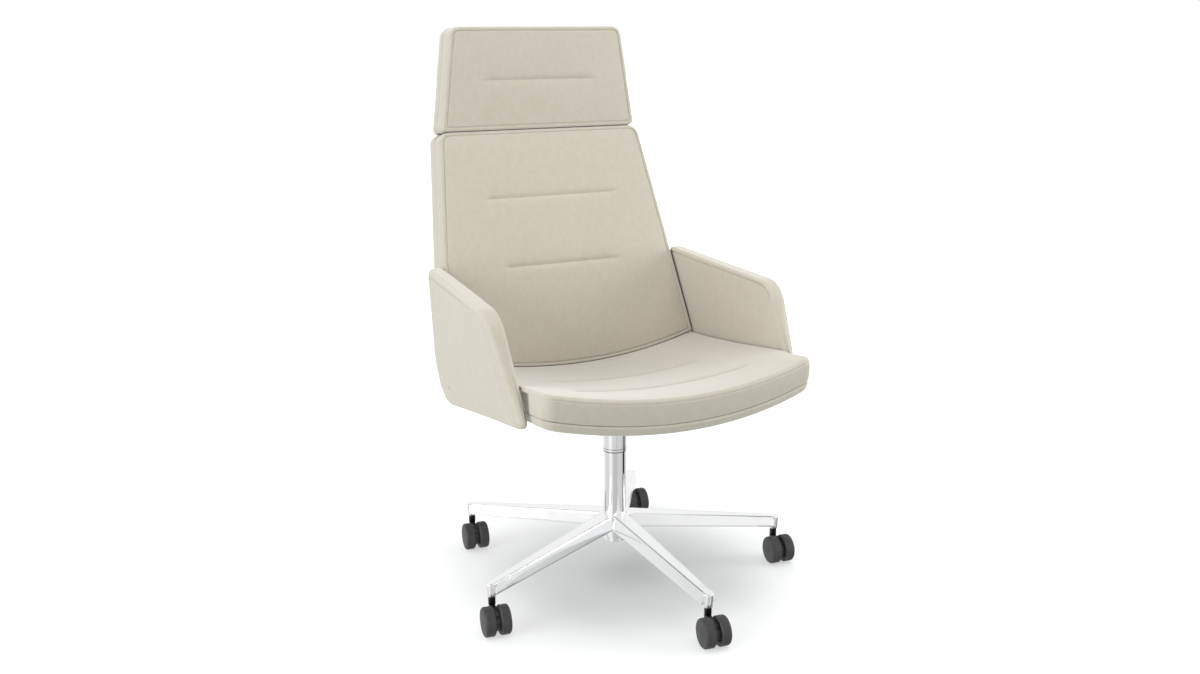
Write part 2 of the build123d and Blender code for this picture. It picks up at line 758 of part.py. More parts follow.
arm_bolts = []
for y in (bracket_front_y + 20, bracket_rear_y - 20):
    place = Pos(arm_face_x - bracket_thickness - fit_clearance, y, seat_z(y, arm_face_x) + bracket_height * 0.6)
    place = place * Rot(0, 90, 0)
    arm_bolts.append(place * bolt(bolt_length))
    arm_left -= place * bolt_hole(bolt_length)
    bracket -= place * bolt_hole(bracket_thickness)
bracket_bolts = []
for y in (bracket_front_y + 20, bracket_rear_y - 20):
    place = seat_frame(arm_face_x - bracket_reach + 25, y, bracket_thickness + seat_clearance)
    bracket_bolts.append(place * bolt(bolt_length))
    bracket -= place * bolt_hole(bolt_length)
    seat_pad -= place * bolt_hole(bolt_length)
    mirrored = mirror(place * bolt_hole(bolt_length), about=Plane.YZ)
    seat_pad -= mirrored


# Steel bars that carry the back and the headrest, in slots of the shells
def bar(points, thickness, x0, x1):
    """Flat bar bent along side-view points."""
    shape = None
    for (ya, za), (yb, zb) in zip(points, points[1:]):
        run = math.hypot(yb - ya, zb - za)
        ny = -(zb - za) / run * thickness / 2
        nz = (yb - ya) / run * thickness / 2
        outline = [(ya + ny, za + nz), (yb + ny, zb + nz), (yb - ny, zb - nz), (ya - ny, za - nz)]
        piece = side_plate(outline, x0, x1)
        shape = piece if shape is None else shape + piece
    for y, z in points[1:-1]:
        shape += Pos(0, y, z) * cross_rod(thickness, x0, x1)
    return shape


def lean_point(plane, height, depth):
    """Side-view position at a height and depth on a leaning plane."""
    p = plane.from_local_coords((0, height, depth))
    return p.Y, p.Z


bar_drop = bar_thickness / 2 / math.cos(math.radians(seat_slope)) + seat_clearance
bar_x0 = back_bar_x - bar_width / 2
bar_x1 = back_bar_x + bar_width / 2
bar_rise_x = dish(bar_x0)
bend_y = seat_rear_y + bar_thickness / 2 + 3
bend_z = lean_point(back_plane, 0, -bar_thickness / 2 - 5)[1]
kink = lean_point(back_plane, 25, -bar_thickness / 2 - 5)
top = lean_point(back_plane, back_bar_height, -bar_thickness / 2 - 5)
bar_points = [
    (back_bar_front_y, seat_z(back_bar_front_y) + bar_rise_x - bar_drop),
    (bend_y, seat_z(bend_y) + bar_rise_x - bar_drop),
    (bend_y, bend_z),
    kink,
    top,
]
back_bar = bar(bar_points, bar_thickness, bar_x0, bar_x1)
stop = lean_point(back_plane, back_bar_height + slot_clearance, -bar_thickness / 2 - 5)
slot_points = bar_points[:-1] + [stop]
back_slot = bar(slot_points, bar_thickness + 2 * slot_clearance, bar_x0 - slot_clearance, bar_x1 + slot_clearance)
back_shell -= back_slot
back_shell -= mirror(back_slot, about=Plane.YZ)
bar_bolts = []
for y in (back_bar_front_y + 20, back_bar_front_y + 90):
    tilt = Rot(-seat_slope, 0, 0)
    place = Pos(back_bar_x, y, seat_z(y) + bar_rise_x - 2 * bar_drop) * tilt
    bar_bolts.append(place * bolt(bolt_length))
    back_bar -= place * bolt_hole(bolt_length)
    seat_board -= place * bolt_hole(bolt_length + board_thickness)
    seat_board -= mirror(place * bolt_hole(bolt_length + board_thickness), about=Plane.YZ)

half_bar = headrest_bar_thickness / 2
link_points = [
    lean_point(back_plane, back_height - headrest_bar_reach, -half_bar - 4),
    lean_point(back_plane, back_height - 6, -half_bar - 4),
    lean_point(headrest_plane, 6, -half_bar - 4),
    lean_point(headrest_plane, headrest_bar_reach, -half_bar - 4),
]
link_x0 = headrest_bar_x - bar_width / 2
link_x1 = headrest_bar_x + bar_width / 2
headrest_bar = bar(link_points, headrest_bar_thickness, link_x0, link_x1)
link_slot_points = [
    lean_point(back_plane, back_height - headrest_bar_reach - slot_clearance, -half_bar - 4),
    *link_points[1:3],
    lean_point(headrest_plane, headrest_bar_reach + slot_clearance, -half_bar - 4),
]
slot_thick = headrest_bar_thickness + 2 * slot_clearance
link_slot = bar(link_slot_points, slot_thick, link_x0 - slot_clearance, link_x1 + slot_clearance)
for slot in (link_slot, mirror(link_slot, about=Plane.YZ)):
    back_shell -= slot
    headrest_shell -= slot

# Seat carrier: plate under the board with two ears on the tilt shaft
carrier_front_y = pivot_y - 25
seat_carrier = dish_slab(-carrier_thickness, -fit_clearance) & block(
    -carrier_width / 2, carrier_width / 2, carrier_front_y, carrier_rear_y, seat_low - 200, seat_low + 200
)
ear_near = half_housing + ear_side_gap
ear_far = ear_near + ear_thickness
ear_room = dish_slab(-200, -carrier_thickness / 2)
for side in (-1, 1):
    x0 = min(side * ear_near, side * ear_far)
    x1 = max(side * ear_near, side * ear_far)
    ear = shaft_at * cross_rod(2 * ear_radius, x0, x1)
    ear += block(x0, x1, pivot_y - ear_radius, pivot_y + ear_radius, pivot_z, pivot_z + 60)
    seat_carrier += ear & ear_room
seat_carrier -= shaft_at * cross_rod(tilt_shaft_diameter + 2 * run_clearance, -half_shaft - 5, half_shaft + 5)
carrier_bolts = []
for x in (-carrier_width / 2 + 11, carrier_width / 2 - 11):
    for y in (pivot_y + 32, carrier_rear_y - 14):
        place = seat_frame(x, y, carrier_thickness + seat_clearance)
        carrier_bolts.append(place * bolt(bolt_length))
        seat_carrier -= place * bolt_hole(bolt_length)
        seat_board -= place * bolt_hole(bolt_length + board_thickness)

# One caster about its stem axis
collar_top = boss_bottom - body_gap
axle_z = wheel_radius
web_side = web_width / 2
collar_low = axle_z + math.sqrt(wheel_radius**2 - (caster_trail - stem_collar_diameter / 2) ** 2) + 1.5
axle_at = Pos(0, -caster_trail, axle_z)
wheel_near = web_side + wheel_side_gap
wheel_far = wheel_near + wheel_width
axle_end = wheel_far - 3.5
stem = rod(stem_collar_diameter, collar_low, collar_top)
stem += rod(stem_diameter, collar_top, boss_bottom + stem_engagement)
stem += rod(stem_neck_diameter, collar_low - 14, collar_low)
web_plan = Pos(-caster_trail, axle_z) * Circle(web_radius)
web_plan += make_face(
    Polyline(
        (-caster_trail, axle_z),
        (stem_collar_diameter / 2 - 3, axle_z + 1),
        (stem_collar_diameter / 2, axle_z + 6),
        (stem_collar_diameter / 2, collar_low),
        (-caster_trail / 2, collar_low),
        (-caster_trail, axle_z + web_radius),
        close=True,
    )
)
web = extrude(Plane.YZ * web_plan, web_side, both=True)
web -= rod(stem_neck_diameter + 2 * fit_clearance, collar_low - 14.5, collar_low + 1)
web -= axle_at * cross_rod(axle_diameter + 2 * fit_clearance, -20, 20)
axle = axle_at * cross_rod(axle_diameter, -axle_end, axle_end)
bore = axle_diameter / 2 + run_clearance
rim = wheel_radius - wheel_rim_radius
soft = wheel_rim_radius * (1 - math.sqrt(0.5))
wheel_curve = [
    Line((bore, 0, wheel_near), (wheel_radius - 2.5, 0, wheel_near)),
    Line((wheel_radius - 2.5, 0, wheel_near), (wheel_radius, 0, wheel_near + 2.5)),
    Line((wheel_radius, 0, wheel_near + 2.5), (wheel_radius, 0, wheel_far - wheel_face_dome - wheel_rim_radius)),
    ThreePointArc(
        (wheel_radius, 0, wheel_far - wheel_face_dome - wheel_rim_radius),
        (wheel_radius - soft, 0, wheel_far - wheel_face_dome - soft),
        (rim, 0, wheel_far - wheel_face_dome),
    ),
    Line((rim, 0, wheel_far - wheel_face_dome), (0, 0, wheel_far)),
    Line((0, 0, wheel_far), (0, 0, axle_end + body_gap)),
    Line((0, 0, axle_end + body_gap), (bore, 0, axle_end + body_gap)),
    Line((bore, 0, axle_end + body_gap), (bore, 0, wheel_near)),
]
wheel = axle_at * Rot(0, 90, 0) * revolve(make_face(wheel_curve), Axis.Z)

# Every piece by name
out = {
    "star_base": star_base,
    "stand_tube": stand_tube,
    "thrust_bearing": thrust_bearing,
    "guide_bush": guide_bush,
    "piston_rod": piston_rod,
    "retaining_clip": retaining_clip,
    "rubber_buffer": rubber_buffer,
    "gas_cylinder": gas_cylinder,
    "release_pin": release_pin,
    "column_sleeve": column_sleeve,
    "mech_housing": mech_housing,
    "tilt_shaft": tilt_shaft,
    "torsion_springs": Compound(children=torsion_springs),
    "tension_knob": tension_knob,
    "tension_screw": tension_screw,
    "height_lever": height_lever,
    "lever_pivot_block": pivot_block,
    "lever_grip": lever_grip,
    "seat_carrier": seat_carrier,
    "seat_board": seat_board,
    "seat_pad": seat_pad,
    "seat_cushion": seat_cushion,
    "back_cushion": back_cushion,
    "back_shell": back_shell,
    "headrest_cushion": headrest_cushion,
    "headrest_shell": headrest_shell,
    "arm_panel_left": arm_left,
    "arm_panel_right": mirror(arm_left, about=Plane.YZ),
    "arm_bracket_left": bracket,
    "arm_bracket_right": mirror(bracket, about=Plane.YZ),
    "back_bar_left": back_bar,
    "back_bar_right": mirror(back_bar, about=Plane.YZ),
    "headrest_bar_left": headrest_bar,
    "headrest_bar_right": mirror(headrest_bar, about=Plane.YZ),
}
paired = arm_bolts + bracket_bolts + bar_bolts
out["seat_bolts"] = Compound(children=carrier_bolts + paired + [mirror(one, about=Plane.YZ) for one in paired])
for i in range(leg_count):
    angle = math.radians(first_leg_angle + 360 / leg_count * i)
    stem_x = stem_circle_radius * math.cos(angle)
    stem_y = stem_circle_radius * math.sin(angle)
    place = Pos(stem_x, stem_y, 0) * Rot(0, 0, axle_heading)
    out[f"caster_stem_{i + 1}"] = place * stem
    out[f"caster_web_{i + 1}"] = place * web
    out[f"caster_axle_{i + 1}"] = place * axle
    out[f"caster_wheel_right_{i + 1}"] = place * wheel
    out[f"caster_wheel_left_{i + 1}"] = place * mirror(wheel, about=Plane.YZ)

os.makedirs("parts", exist_ok=True)
for name, shape in out.items():
    export_step(shape, f"parts/{name}.step")
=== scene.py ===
import math

import bpy
import numpy as np
from mathutils import Matrix


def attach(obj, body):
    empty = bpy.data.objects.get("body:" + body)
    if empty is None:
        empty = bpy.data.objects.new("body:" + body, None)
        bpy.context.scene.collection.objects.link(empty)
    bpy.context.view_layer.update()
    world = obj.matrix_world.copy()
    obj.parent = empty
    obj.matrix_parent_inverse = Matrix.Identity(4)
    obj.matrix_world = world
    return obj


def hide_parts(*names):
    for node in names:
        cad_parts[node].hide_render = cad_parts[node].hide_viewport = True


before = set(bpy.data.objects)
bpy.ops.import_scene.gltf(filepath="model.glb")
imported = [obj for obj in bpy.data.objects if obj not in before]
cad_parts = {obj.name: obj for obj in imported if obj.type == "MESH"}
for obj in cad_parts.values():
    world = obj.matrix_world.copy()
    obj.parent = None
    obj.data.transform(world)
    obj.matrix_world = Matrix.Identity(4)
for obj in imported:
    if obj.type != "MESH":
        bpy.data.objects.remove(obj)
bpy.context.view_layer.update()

# Star base: five hollow legs cast in one piece of aluminium around a hub, with a flat top facet on
# each leg and a boss at its tip. It is machined on the bores only and polished by hand all over,
# so the finish has a soft mirror gloss with faint buffing marks along the metal.


def shade_group(name, inputs, outputs):
    """Empty shader node group with float inputs, given with their values, and typed outputs."""
    tree = bpy.data.node_groups.new(name, "ShaderNodeTree")
    for label, value in inputs:
        socket = tree.interface.new_socket(label, in_out="INPUT", socket_type="NodeSocketFloat")
        socket.default_value = value
    for label, kind in outputs:
        tree.interface.new_socket(label, in_out="OUTPUT", socket_type=kind)
    return tree, tree.nodes.new("NodeGroupInput"), tree.nodes.new("NodeGroupOutput")


def add(tree, kind, **settings):
    """Node of a kind in a tree, with its properties set."""
    node = tree.nodes.new("ShaderNode" + kind)
    for key, value in settings.items():
        setattr(node, key, value)
    return node


def math_node(tree, operation, first, second=None):
    """Math node; each operand is a socket or a number."""
    node = add(tree, "Math", operation=operation)
    for slot, value in enumerate((first, second)):
        if value is None:
            continue
        if isinstance(value, (int, float)):
            node.inputs[slot].default_value = value
        else:
            tree.links.new(value, node.inputs[slot])
    return node.outputs[0]


def spread(tree, value, low, high, to_low, to_high):
    """Maps a value from one range to another, clamped."""
    node = add(tree, "MapRange")
    tree.links.new(value, node.inputs["Value"])
    for key, number in (("From Min", low), ("From Max", high), ("To Min", to_low), ("To Max", to_high)):
        node.inputs[key].default_value = number
    return node.outputs["Result"]


def finish_of(name, colour, roughness, **sockets):
    """Material with one Principled BSDF; returns the material, its tree and the shader node."""
    material = bpy.data.materials.new(name)
    material.use_nodes = True
    tree = material.node_tree
    shader = tree.nodes["Principled BSDF"]
    shader.inputs["Base Color"].default_value = (*colour, 1)
    shader.inputs["Roughness"].default_value = roughness
    for key, value in sockets.items():
        shader.inputs[key.replace("_", " ")].default_value = value
    return material, tree, shader


def dress(names, material):
    """Gives CAD nodes their material."""
    for name in names:
        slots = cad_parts[name].data.materials
        slots.clear()
        slots.append(material)


# buffing: a cloudy polish, for tone and roughness, and faint fine marks, for height
buffing, given, made = shade_group(
    "buffing_marks",
    (("Cloud Scale", 14.0), ("Mark Scale", 420.0)),
    (("Cloud", "NodeSocketFloat"), ("Marks", "NodeSocketFloat")),
)
place = add(buffing, "TexCoord")
cloud = add(buffing, "TexNoise")
cloud.inputs["Detail"].default_value = 3
buffing.links.new(place.outputs["Object"], cloud.inputs["Vector"])
buffing.links.new(given.outputs["Cloud Scale"], cloud.inputs["Scale"])
marks = add(buffing, "TexNoise")
marks.inputs["Detail"].default_value = 6
marks.inputs["Roughness"].default_value = 0.7
buffing.links.new(place.outputs["Object"], marks.inputs["Vector"])
buffing.links.new(given.outputs["Mark Scale"], marks.inputs["Scale"])
buffing.links.new(cloud.outputs["Fac"], made.inputs["Cloud"])
buffing.links.new(marks.outputs["Fac"], made.inputs["Marks"])


def polished(
    name, colour, dull, shine, marks_height, cloud_scale=14.0, mark_scale=420.0, edge_radius=0.0004
):
    """Polished metal: roughness drifts between shine and dull with the cloud, fine marks lift the
    surface, and the edges are worn round."""
    material, tree, shader = finish_of(name, colour, dull, Metallic=1.0)
    wear = add(tree, "Group", node_tree=buffing)
    wear.inputs["Cloud Scale"].default_value = cloud_scale
    wear.inputs["Mark Scale"].default_value = mark_scale
    tree.links.new(spread(tree, wear.outputs["Cloud"], 0.3, 0.7, shine, dull), shader.inputs["Roughness"])
    worn_edge = add(tree, "Bevel", samples=4)
    worn_edge.inputs["Radius"].default_value = edge_radius
    bump = add(tree, "Bump")
    bump.inputs["Strength"].default_value = 0.35
    bump.inputs["Distance"].default_value = marks_height
    tree.links.new(worn_edge.outputs["Normal"], bump.inputs["Normal"])
    tree.links.new(wear.outputs["Marks"], bump.inputs["Height"])
    tree.links.new(bump.outputs["Normal"], shader.inputs["Normal"])
    tone = add(tree, "MixRGB", blend_type="MULTIPLY")
    tone.inputs["Fac"].default_value = 1.0
    tone.inputs["Color1"].default_value = (*colour, 1)
    shade = spread(tree, wear.outputs["Cloud"], 0.2, 0.8, 0.95, 1.0)
    tree.links.new(shade, tone.inputs["Color2"])
    tree.links.new(tone.outputs["Color"], shader.inputs["Base Color"])
    return material


polished_aluminium = polished(
    "polished_aluminium", (0.95, 0.955, 0.96), 0.13, 0.06, 0.00003, edge_radius=0.0055
)
dress(["star_base"], polished_aluminium)

# Casters: twin wheels of dark grey plastic on an axle through a black centre web, each on a black
# steel stem that turns in its boss. The wheels are moulded with a fine matt grain.
moulded, given, made = shade_group(
    "moulded_grain",
    (("Grain Scale", 900.0), ("Scuff Scale", 60.0)),
    (("Grain", "NodeSocketFloat"), ("Scuff", "NodeSocketFloat")),
)
place = add(moulded, "TexCoord")
grain = add(moulded, "TexNoise")
grain.inputs["Detail"].default_value = 2
scuff = add(moulded, "TexNoise")
scuff.inputs["Detail"].default_value = 5
for source, label, target in (("Grain Scale", "Grain", grain), ("Scuff Scale", "Scuff", scuff)):
    moulded.links.new(place.outputs["Object"], target.inputs["Vector"])
    moulded.links.new(given.outputs[source], target.inputs["Scale"])
    moulded.links.new(target.outputs["Fac"], made.inputs[label])


def moulded_plastic(name, colour, worn, rough, height, scale=900.0):
    """Moulded plastic or paint: matt grain in the surface, a paler tone where it is scuffed."""
    material, tree, shader = finish_of(name, colour, rough)
    skin = add(tree, "Group", node_tree=moulded)
    skin.inputs["Grain Scale"].default_value = scale
    tone = add(tree, "MixRGB")
    tone.inputs["Color1"].default_value = (*colour, 1)
    tone.inputs["Color2"].default_value = (*worn, 1)
    tree.links.new(spread(tree, skin.outputs["Scuff"], 0.52, 0.75, 0.0, 1.0), tone.inputs["Fac"])
    tree.links.new(tone.outputs["Color"], shader.inputs["Base Color"])
    drift = 0.06
    dull = spread(tree, skin.outputs["Scuff"], 0.3, 0.7, rough - drift, rough + drift)
    tree.links.new(dull, shader.inputs["Roughness"])
    bump = add(tree, "Bump")
    bump.inputs["Strength"].default_value = 0.5
    bump.inputs["Distance"].default_value = height
    tree.links.new(skin.outputs["Grain"], bump.inputs["Height"])
    tree.links.new(bump.outputs["Normal"], shader.inputs["Normal"])
    return material


caster_numbers = range(1, 6)
wheel_plastic = moulded_plastic(
    "wheel_plastic", (0.045, 0.0455, 0.047), (0.062, 0.062, 0.064), 0.55, 0.0001
)
black_plastic = moulded_plastic(
    "black_plastic", (0.012, 0.012, 0.013), (0.022, 0.022, 0.023), 0.42, 0.00008
)
stem_steel = polished("stem_steel", (0.05, 0.05, 0.055), 0.3, 0.2, 0.00002)
axle_steel = polished("axle_steel", (0.55, 0.55, 0.56), 0.3, 0.2, 0.00003)
for side in ("left", "right"):
    dress([f"caster_wheel_{side}_{n}" for n in caster_numbers], wheel_plastic)
dress([f"caster_web_{n}" for n in caster_numbers], black_plastic)
dress([f"caster_stem_{n}" for n in caster_numbers], stem_steel)
dress([f"caster_axle_{n}" for n in caster_numbers], axle_steel)

# Gas-lift column: a chromed stand tube wedged in the hub, with a gas cylinder that slides in its
# guide bush, its rod standing on a bearing below, and a short bright sleeve under the mechanism,
# turned with a chamfered rim and a fine groove above it.
chrome = polished("column_chrome", (0.93, 0.935, 0.94), 0.07, 0.035, 0.00001, 9.0, 300.0)
sleeve_chrome = polished("sleeve_chrome", (0.94, 0.945, 0.955), 0.28, 0.22, 0.00002, 11.0, 300.0)
black_enamel = moulded_plastic(
    "black_enamel", (0.015, 0.015, 0.016), (0.03, 0.03, 0.032), 0.3, 0.00003, 1400.0
)
rubber = moulded_plastic("buffer_rubber", (0.02, 0.02, 0.02), (0.03, 0.03, 0.03), 0.75, 0.0001)

# the rim and the groove of the sleeve, painted as dark rings at their heights above its lower end: painted
# reflection of the chamfered rim and painted shade in the groove
rim_height = (0.0016, 0.0024)
groove_height = 0.0072
tree = sleeve_chrome.node_tree
shader = tree.nodes["Principled BSDF"]
bright = shader.inputs["Base Color"].links[0].from_socket
sleeve_end = min(corner[2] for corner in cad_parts["column_sleeve"].bound_box)
place = add(tree, "TexCoord")
axes = add(tree, "SeparateXYZ")
tree.links.new(place.outputs["Object"], axes.inputs["Vector"])
above_end = math_node(tree, "SUBTRACT", axes.outputs["Z"], sleeve_end)
from_groove = math_node(tree, "ABSOLUTE", math_node(tree, "SUBTRACT", above_end, groove_height))
# painted reflection and shade: the colour falls to a tenth over the rim and dips at the groove
edge = spread(tree, above_end, *rim_height, 0.10, 1.0)
groove_painted_shade = spread(tree, from_groove, 0.0004, 0.0011, 0.35, 1.0)
painted_ring_shade = add(tree, "MixRGB", blend_type="MULTIPLY")
painted_ring_shade.inputs["Fac"].default_value = 1.0
tree.links.new(bright, painted_ring_shade.inputs["Color1"])
tree.links.new(math_node(tree, "MULTIPLY", edge, groove_painted_shade), painted_ring_shade.inputs["Color2"])
tree.links.new(painted_ring_shade.outputs["Color"], shader.inputs["Base Color"])
dress(["stand_tube"], chrome)
dress(["column_sleeve"], sleeve_chrome)
dress(["piston_rod", "release_pin", "thrust_bearing", "retaining_clip"], axle_steel)
dress(["gas_cylinder"], black_enamel)
dress(["guide_bush"], black_plastic)
dress(["rubber_buffer"], rubber)

# Tilt mechanism: a pressed steel tray in black powder coat on the gas cylinder, a shaft with two
# torsion springs across its front, a fluted knob for their tension and a lever with a flat grip.
powder_coat = moulded_plastic(
    "powder_coat", (0.02, 0.02, 0.021), (0.03, 0.03, 0.031), 0.48, 0.00012, 1100.0
)
spring_steel = polished("spring_steel", (0.30, 0.30, 0.31), 0.4, 0.3, 0.00003)
dress(["mech_housing", "seat_carrier"], powder_coat)
dress(["tilt_shaft", "tension_screw", "height_lever"], axle_steel)
dress(["torsion_springs"], spring_steel)
dress(["tension_knob", "lever_grip", "lever_pivot_block"], black_plastic)

# Seat board, bars, brackets and bolts: a bent plywood board under the pad, black flat steel bars
# up into the back and on to the headrest, angle brackets for the arms, and hexagon-head bolts.
plywood, tree, shader = finish_of("beech_plywood", (0.55, 0.40, 0.25), 0.6)
place = add(tree, "TexCoord")
stretch = add(tree, "Mapping")
stretch.inputs["Scale"].default_value = (60.0, 4.0, 300.0)
tree.links.new(place.outputs["Object"], stretch.inputs["Vector"])
fibre = add(tree, "TexNoise")
fibre.inputs["Scale"].default_value = 1.0
fibre.inputs["Detail"].default_value = 5
tree.links.new(stretch.outputs["Vector"], fibre.inputs["Vector"])
tone = add(tree, "MixRGB")
tone.inputs["Color1"].default_value = (0.60, 0.45, 0.29, 1)
tone.inputs["Color2"].default_value = (0.42, 0.29, 0.17, 1)
tree.links.new(spread(tree, fibre.outputs["Fac"], 0.3, 0.7, 0.0, 1.0), tone.inputs["Fac"])
tree.links.new(tone.outputs["Color"], shader.inputs["Base Color"])
dress(["seat_board"], plywood)
for side in ("left", "right"):
    dress([f"{part}_{side}" for part in ("back_bar", "headrest_bar", "arm_bracket")], powder_coat)
dress(["seat_bolts"], axle_steel)

# Seat pad: the lower layer of the seat, thin foam wrapped round the board and covered in the same
# leather, rounded along its front under the cushion's seam.

# leather: a fine pebble of cells with pores between them, a slow drift of tone and a finer mottle
leather_grain, given, made = shade_group(
    "leather_grain",
    (("Pebble Scale", 620.0), ("Drift Scale", 5.0), ("Mottle Scale", 75.0)),
    tuple((label, "NodeSocketFloat") for label in ("Pebble", "Drift", "Pores", "Mottle")),
)
place = add(leather_grain, "TexCoord")
wander = add(leather_grain, "TexNoise")
wander.inputs["Scale"].default_value = 260.0
wander.inputs["Detail"].default_value = 2
leather_grain.links.new(place.outputs["Object"], wander.inputs["Vector"])
push = add(leather_grain, "MixRGB", blend_type="LINEAR_LIGHT")
push.inputs["Fac"].default_value = 0.0016
leather_grain.links.new(place.outputs["Object"], push.inputs["Color1"])
leather_grain.links.new(wander.outputs["Color"], push.inputs["Color2"])
pebble = add(leather_grain, "TexVoronoi", feature="SMOOTH_F1")
pebble.inputs["Smoothness"].default_value = 0.6
leather_grain.links.new(push.outputs["Color"], pebble.inputs["Vector"])
leather_grain.links.new(given.outputs["Pebble Scale"], pebble.inputs["Scale"])
drift = add(leather_grain, "TexNoise")
drift.inputs["Detail"].default_value = 3
leather_grain.links.new(place.outputs["Object"], drift.inputs["Vector"])
leather_grain.links.new(given.outputs["Drift Scale"], drift.inputs["Scale"])
mottle = add(leather_grain, "TexNoise")
mottle.inputs["Detail"].default_value = 4
mottle.inputs["Roughness"].default_value = 0.6
leather_grain.links.new(place.outputs["Object"], mottle.inputs["Vector"])
leather_grain.links.new(given.outputs["Mottle Scale"], mottle.inputs["Scale"])
leather_grain.links.new(mottle.outputs["Fac"], made.inputs["Mottle"])
dome = math_node(leather_grain, "SUBTRACT", 1.0, pebble.outputs["Distance"])
leather_grain.links.new(dome, made.inputs["Pebble"])
leather_grain.links.new(drift.outputs["Fac"], made.inputs["Drift"])
pores = spread(leather_grain, pebble.outputs["Distance"], 0.45, 0.8, 0.0, 1.0)
leather_grain.links.new(pores, made.inputs["Pores"])

# its tone is mixed from these; in closed-in seams, creases and joints an occlusion test darkens its colour
# and dims its sheen and shine, as painted shade
leather_colour = (0.605, 0.568, 0.478)
leather_shade = (0.570, 0.530, 0.435)
leather, tree, shader = finish_of(
    "cream_leather", leather_colour, 0.5, Sheen_Roughness=0.42, Sheen_Tint=(1.0, 1.0, 1.0, 1)
)
hide = add(tree, "Group", node_tree=leather_grain)
tone = add(tree, "MixRGB")
tone.inputs["Color1"].default_value = (*leather_colour, 1)
tone.inputs["Color2"].default_value = (*leather_shade, 1)
share = math_node(
    tree,
    "ADD",
    spread(tree, hide.outputs["Drift"], 0.3, 0.7, 0.0, 0.35),
    spread(tree, hide.outputs["Pores"], 0.0, 1.0, 0.0, 0.35),
)
share = math_node(tree, "ADD", share, spread(tree, hide.outputs["Mottle"], 0.35, 0.65, -0.3, 0.5))
tree.links.new(share, tone.inputs["Fac"])
# painted shade: colour, sheen and shine drop where the occlusion test finds the surface closed in
painted_shade_occlusion = add(tree, "AmbientOcclusion", samples=6)
painted_shade_occlusion.inputs["Distance"].default_value = 0.012
painted_crease_shade = add(tree, "MixRGB", blend_type="MULTIPLY")
painted_crease_shade.inputs["Fac"].default_value = 1.0
tree.links.new(tone.outputs["Color"], painted_crease_shade.inputs["Color1"])
painted_shade_factor = spread(tree, painted_shade_occlusion.outputs["AO"], 0.10, 0.55, 0.10, 1.0)
tree.links.new(painted_shade_factor, painted_crease_shade.inputs["Color2"])
tree.links.new(math_node(tree, "MULTIPLY", painted_shade_factor, 0.8), shader.inputs["Sheen Weight"])
tree.links.new(math_node(tree, "MULTIPLY", painted_shade_factor, 0.45), shader.inputs["Specular IOR Level"])
tree.links.new(painted_crease_shade.outputs["Color"], shader.inputs["Base Color"])
tree.links.new(spread(tree, hide.outputs["Drift"], 0.3, 0.7, 0.46, 0.54), shader.inputs["Roughness"])
bump = add(tree, "Bump")
bump.inputs["Strength"].default_value = 0.30
bump.inputs["Distance"].default_value = 0.00025
tree.links.new(hide.outputs["Pebble"], bump.inputs["Height"])
tree.links.new(bump.outputs["Normal"], shader.inputs["Normal"])


def rounded(a, b, reach_a, reach_b):
    """Square grid with its corners on quarter rounds: inside a corner of the given reach the two
    distances p and q from its centre become p times root(1 - q q / 2) and q times root(1 - p p / 2)."""
    p = np.clip((np.abs(a) - 1 + reach_a) / reach_a, 0, 1)
    q = np.clip((np.abs(b) - 1 + reach_b) / reach_b, 0, 1)
    shift_a = reach_a * p * (1 - np.sqrt(1 - q * q / 2))
    shift_b = reach_b * q * (1 - np.sqrt(1 - p * p / 2))
    return a - np.sign(a) * shift_a, b - np.sign(b) * shift_b


def closed_skin(name, columns, rows, place, steps):
    """Closed skin of a stuffed panel. The face is the grid of columns by rows at the first step, the
    back is the same grid at the last, and the grid's edge is carried through every step between them.
    The place function is told which it sets: 1 for the face, -1 for the back and 0 between."""
    a, b = np.meshgrid(columns, rows)
    order = np.arange(a.size).reshape(a.shape)
    edge = np.concatenate([order[0, :-1], order[:-1, -1], order[-1, :0:-1], order[:0:-1, 0]])
    around_a, around_b = a.ravel()[edge], b.ravel()[edge]
    parts = [place(a.ravel(), b.ravel(), steps[0], 1)]
    parts += [place(around_a, around_b, step, 0) for step in steps[1:-1]]
    parts.append(place(a.ravel(), b.ravel(), steps[-1], -1))
    points = np.concatenate(parts)
    last = a.size + edge.size * (len(steps) - 2)
    loops = [edge]
    loops += [a.size + edge.size * n + np.arange(edge.size) for n in range(len(steps) - 2)]
    loops.append(last + edge)
    squares = np.stack([order[:-1, :-1], order[:-1, 1:], order[1:, 1:], order[1:, :-1]], -1).reshape(-1, 4)
    quads = [squares, squares[:, ::-1] + last]
    for upper, lower in zip(loops, loops[1:]):
        quads.append(np.stack([np.roll(upper, -1), upper, lower, np.roll(lower, -1)], -1))
    quads = np.concatenate(quads)
    p0, p1, p2, p3 = (points[quads[:, n]] for n in range(4))
    volume = np.einsum("ij,ij->i", p0, np.cross(p1 - p0, p2 - p0) + np.cross(p2 - p0, p3 - p0)).sum()
    if volume < 0:
        quads = quads[:, ::-1]
    mesh = bpy.data.meshes.new(name)
    mesh.vertices.add(len(points))
    mesh.vertices.foreach_set("co", points.astype(np.float32).ravel())
    mesh.loops.add(quads.size)
    mesh.loops.foreach_set("vertex_index", quads.astype(np.int32).ravel())
    mesh.polygons.add(len(quads))
    mesh.polygons.foreach_set("loop_start", np.arange(0, quads.size, 4, dtype=np.int32))
    mesh.polygons.foreach_set("use_smooth", np.ones(len(quads), bool))
    mesh.update(calc_edges=True)
    mesh.validate()
    thing = bpy.data.objects.new(name, mesh)
    bpy.context.scene.collection.objects.link(thing)
    return thing


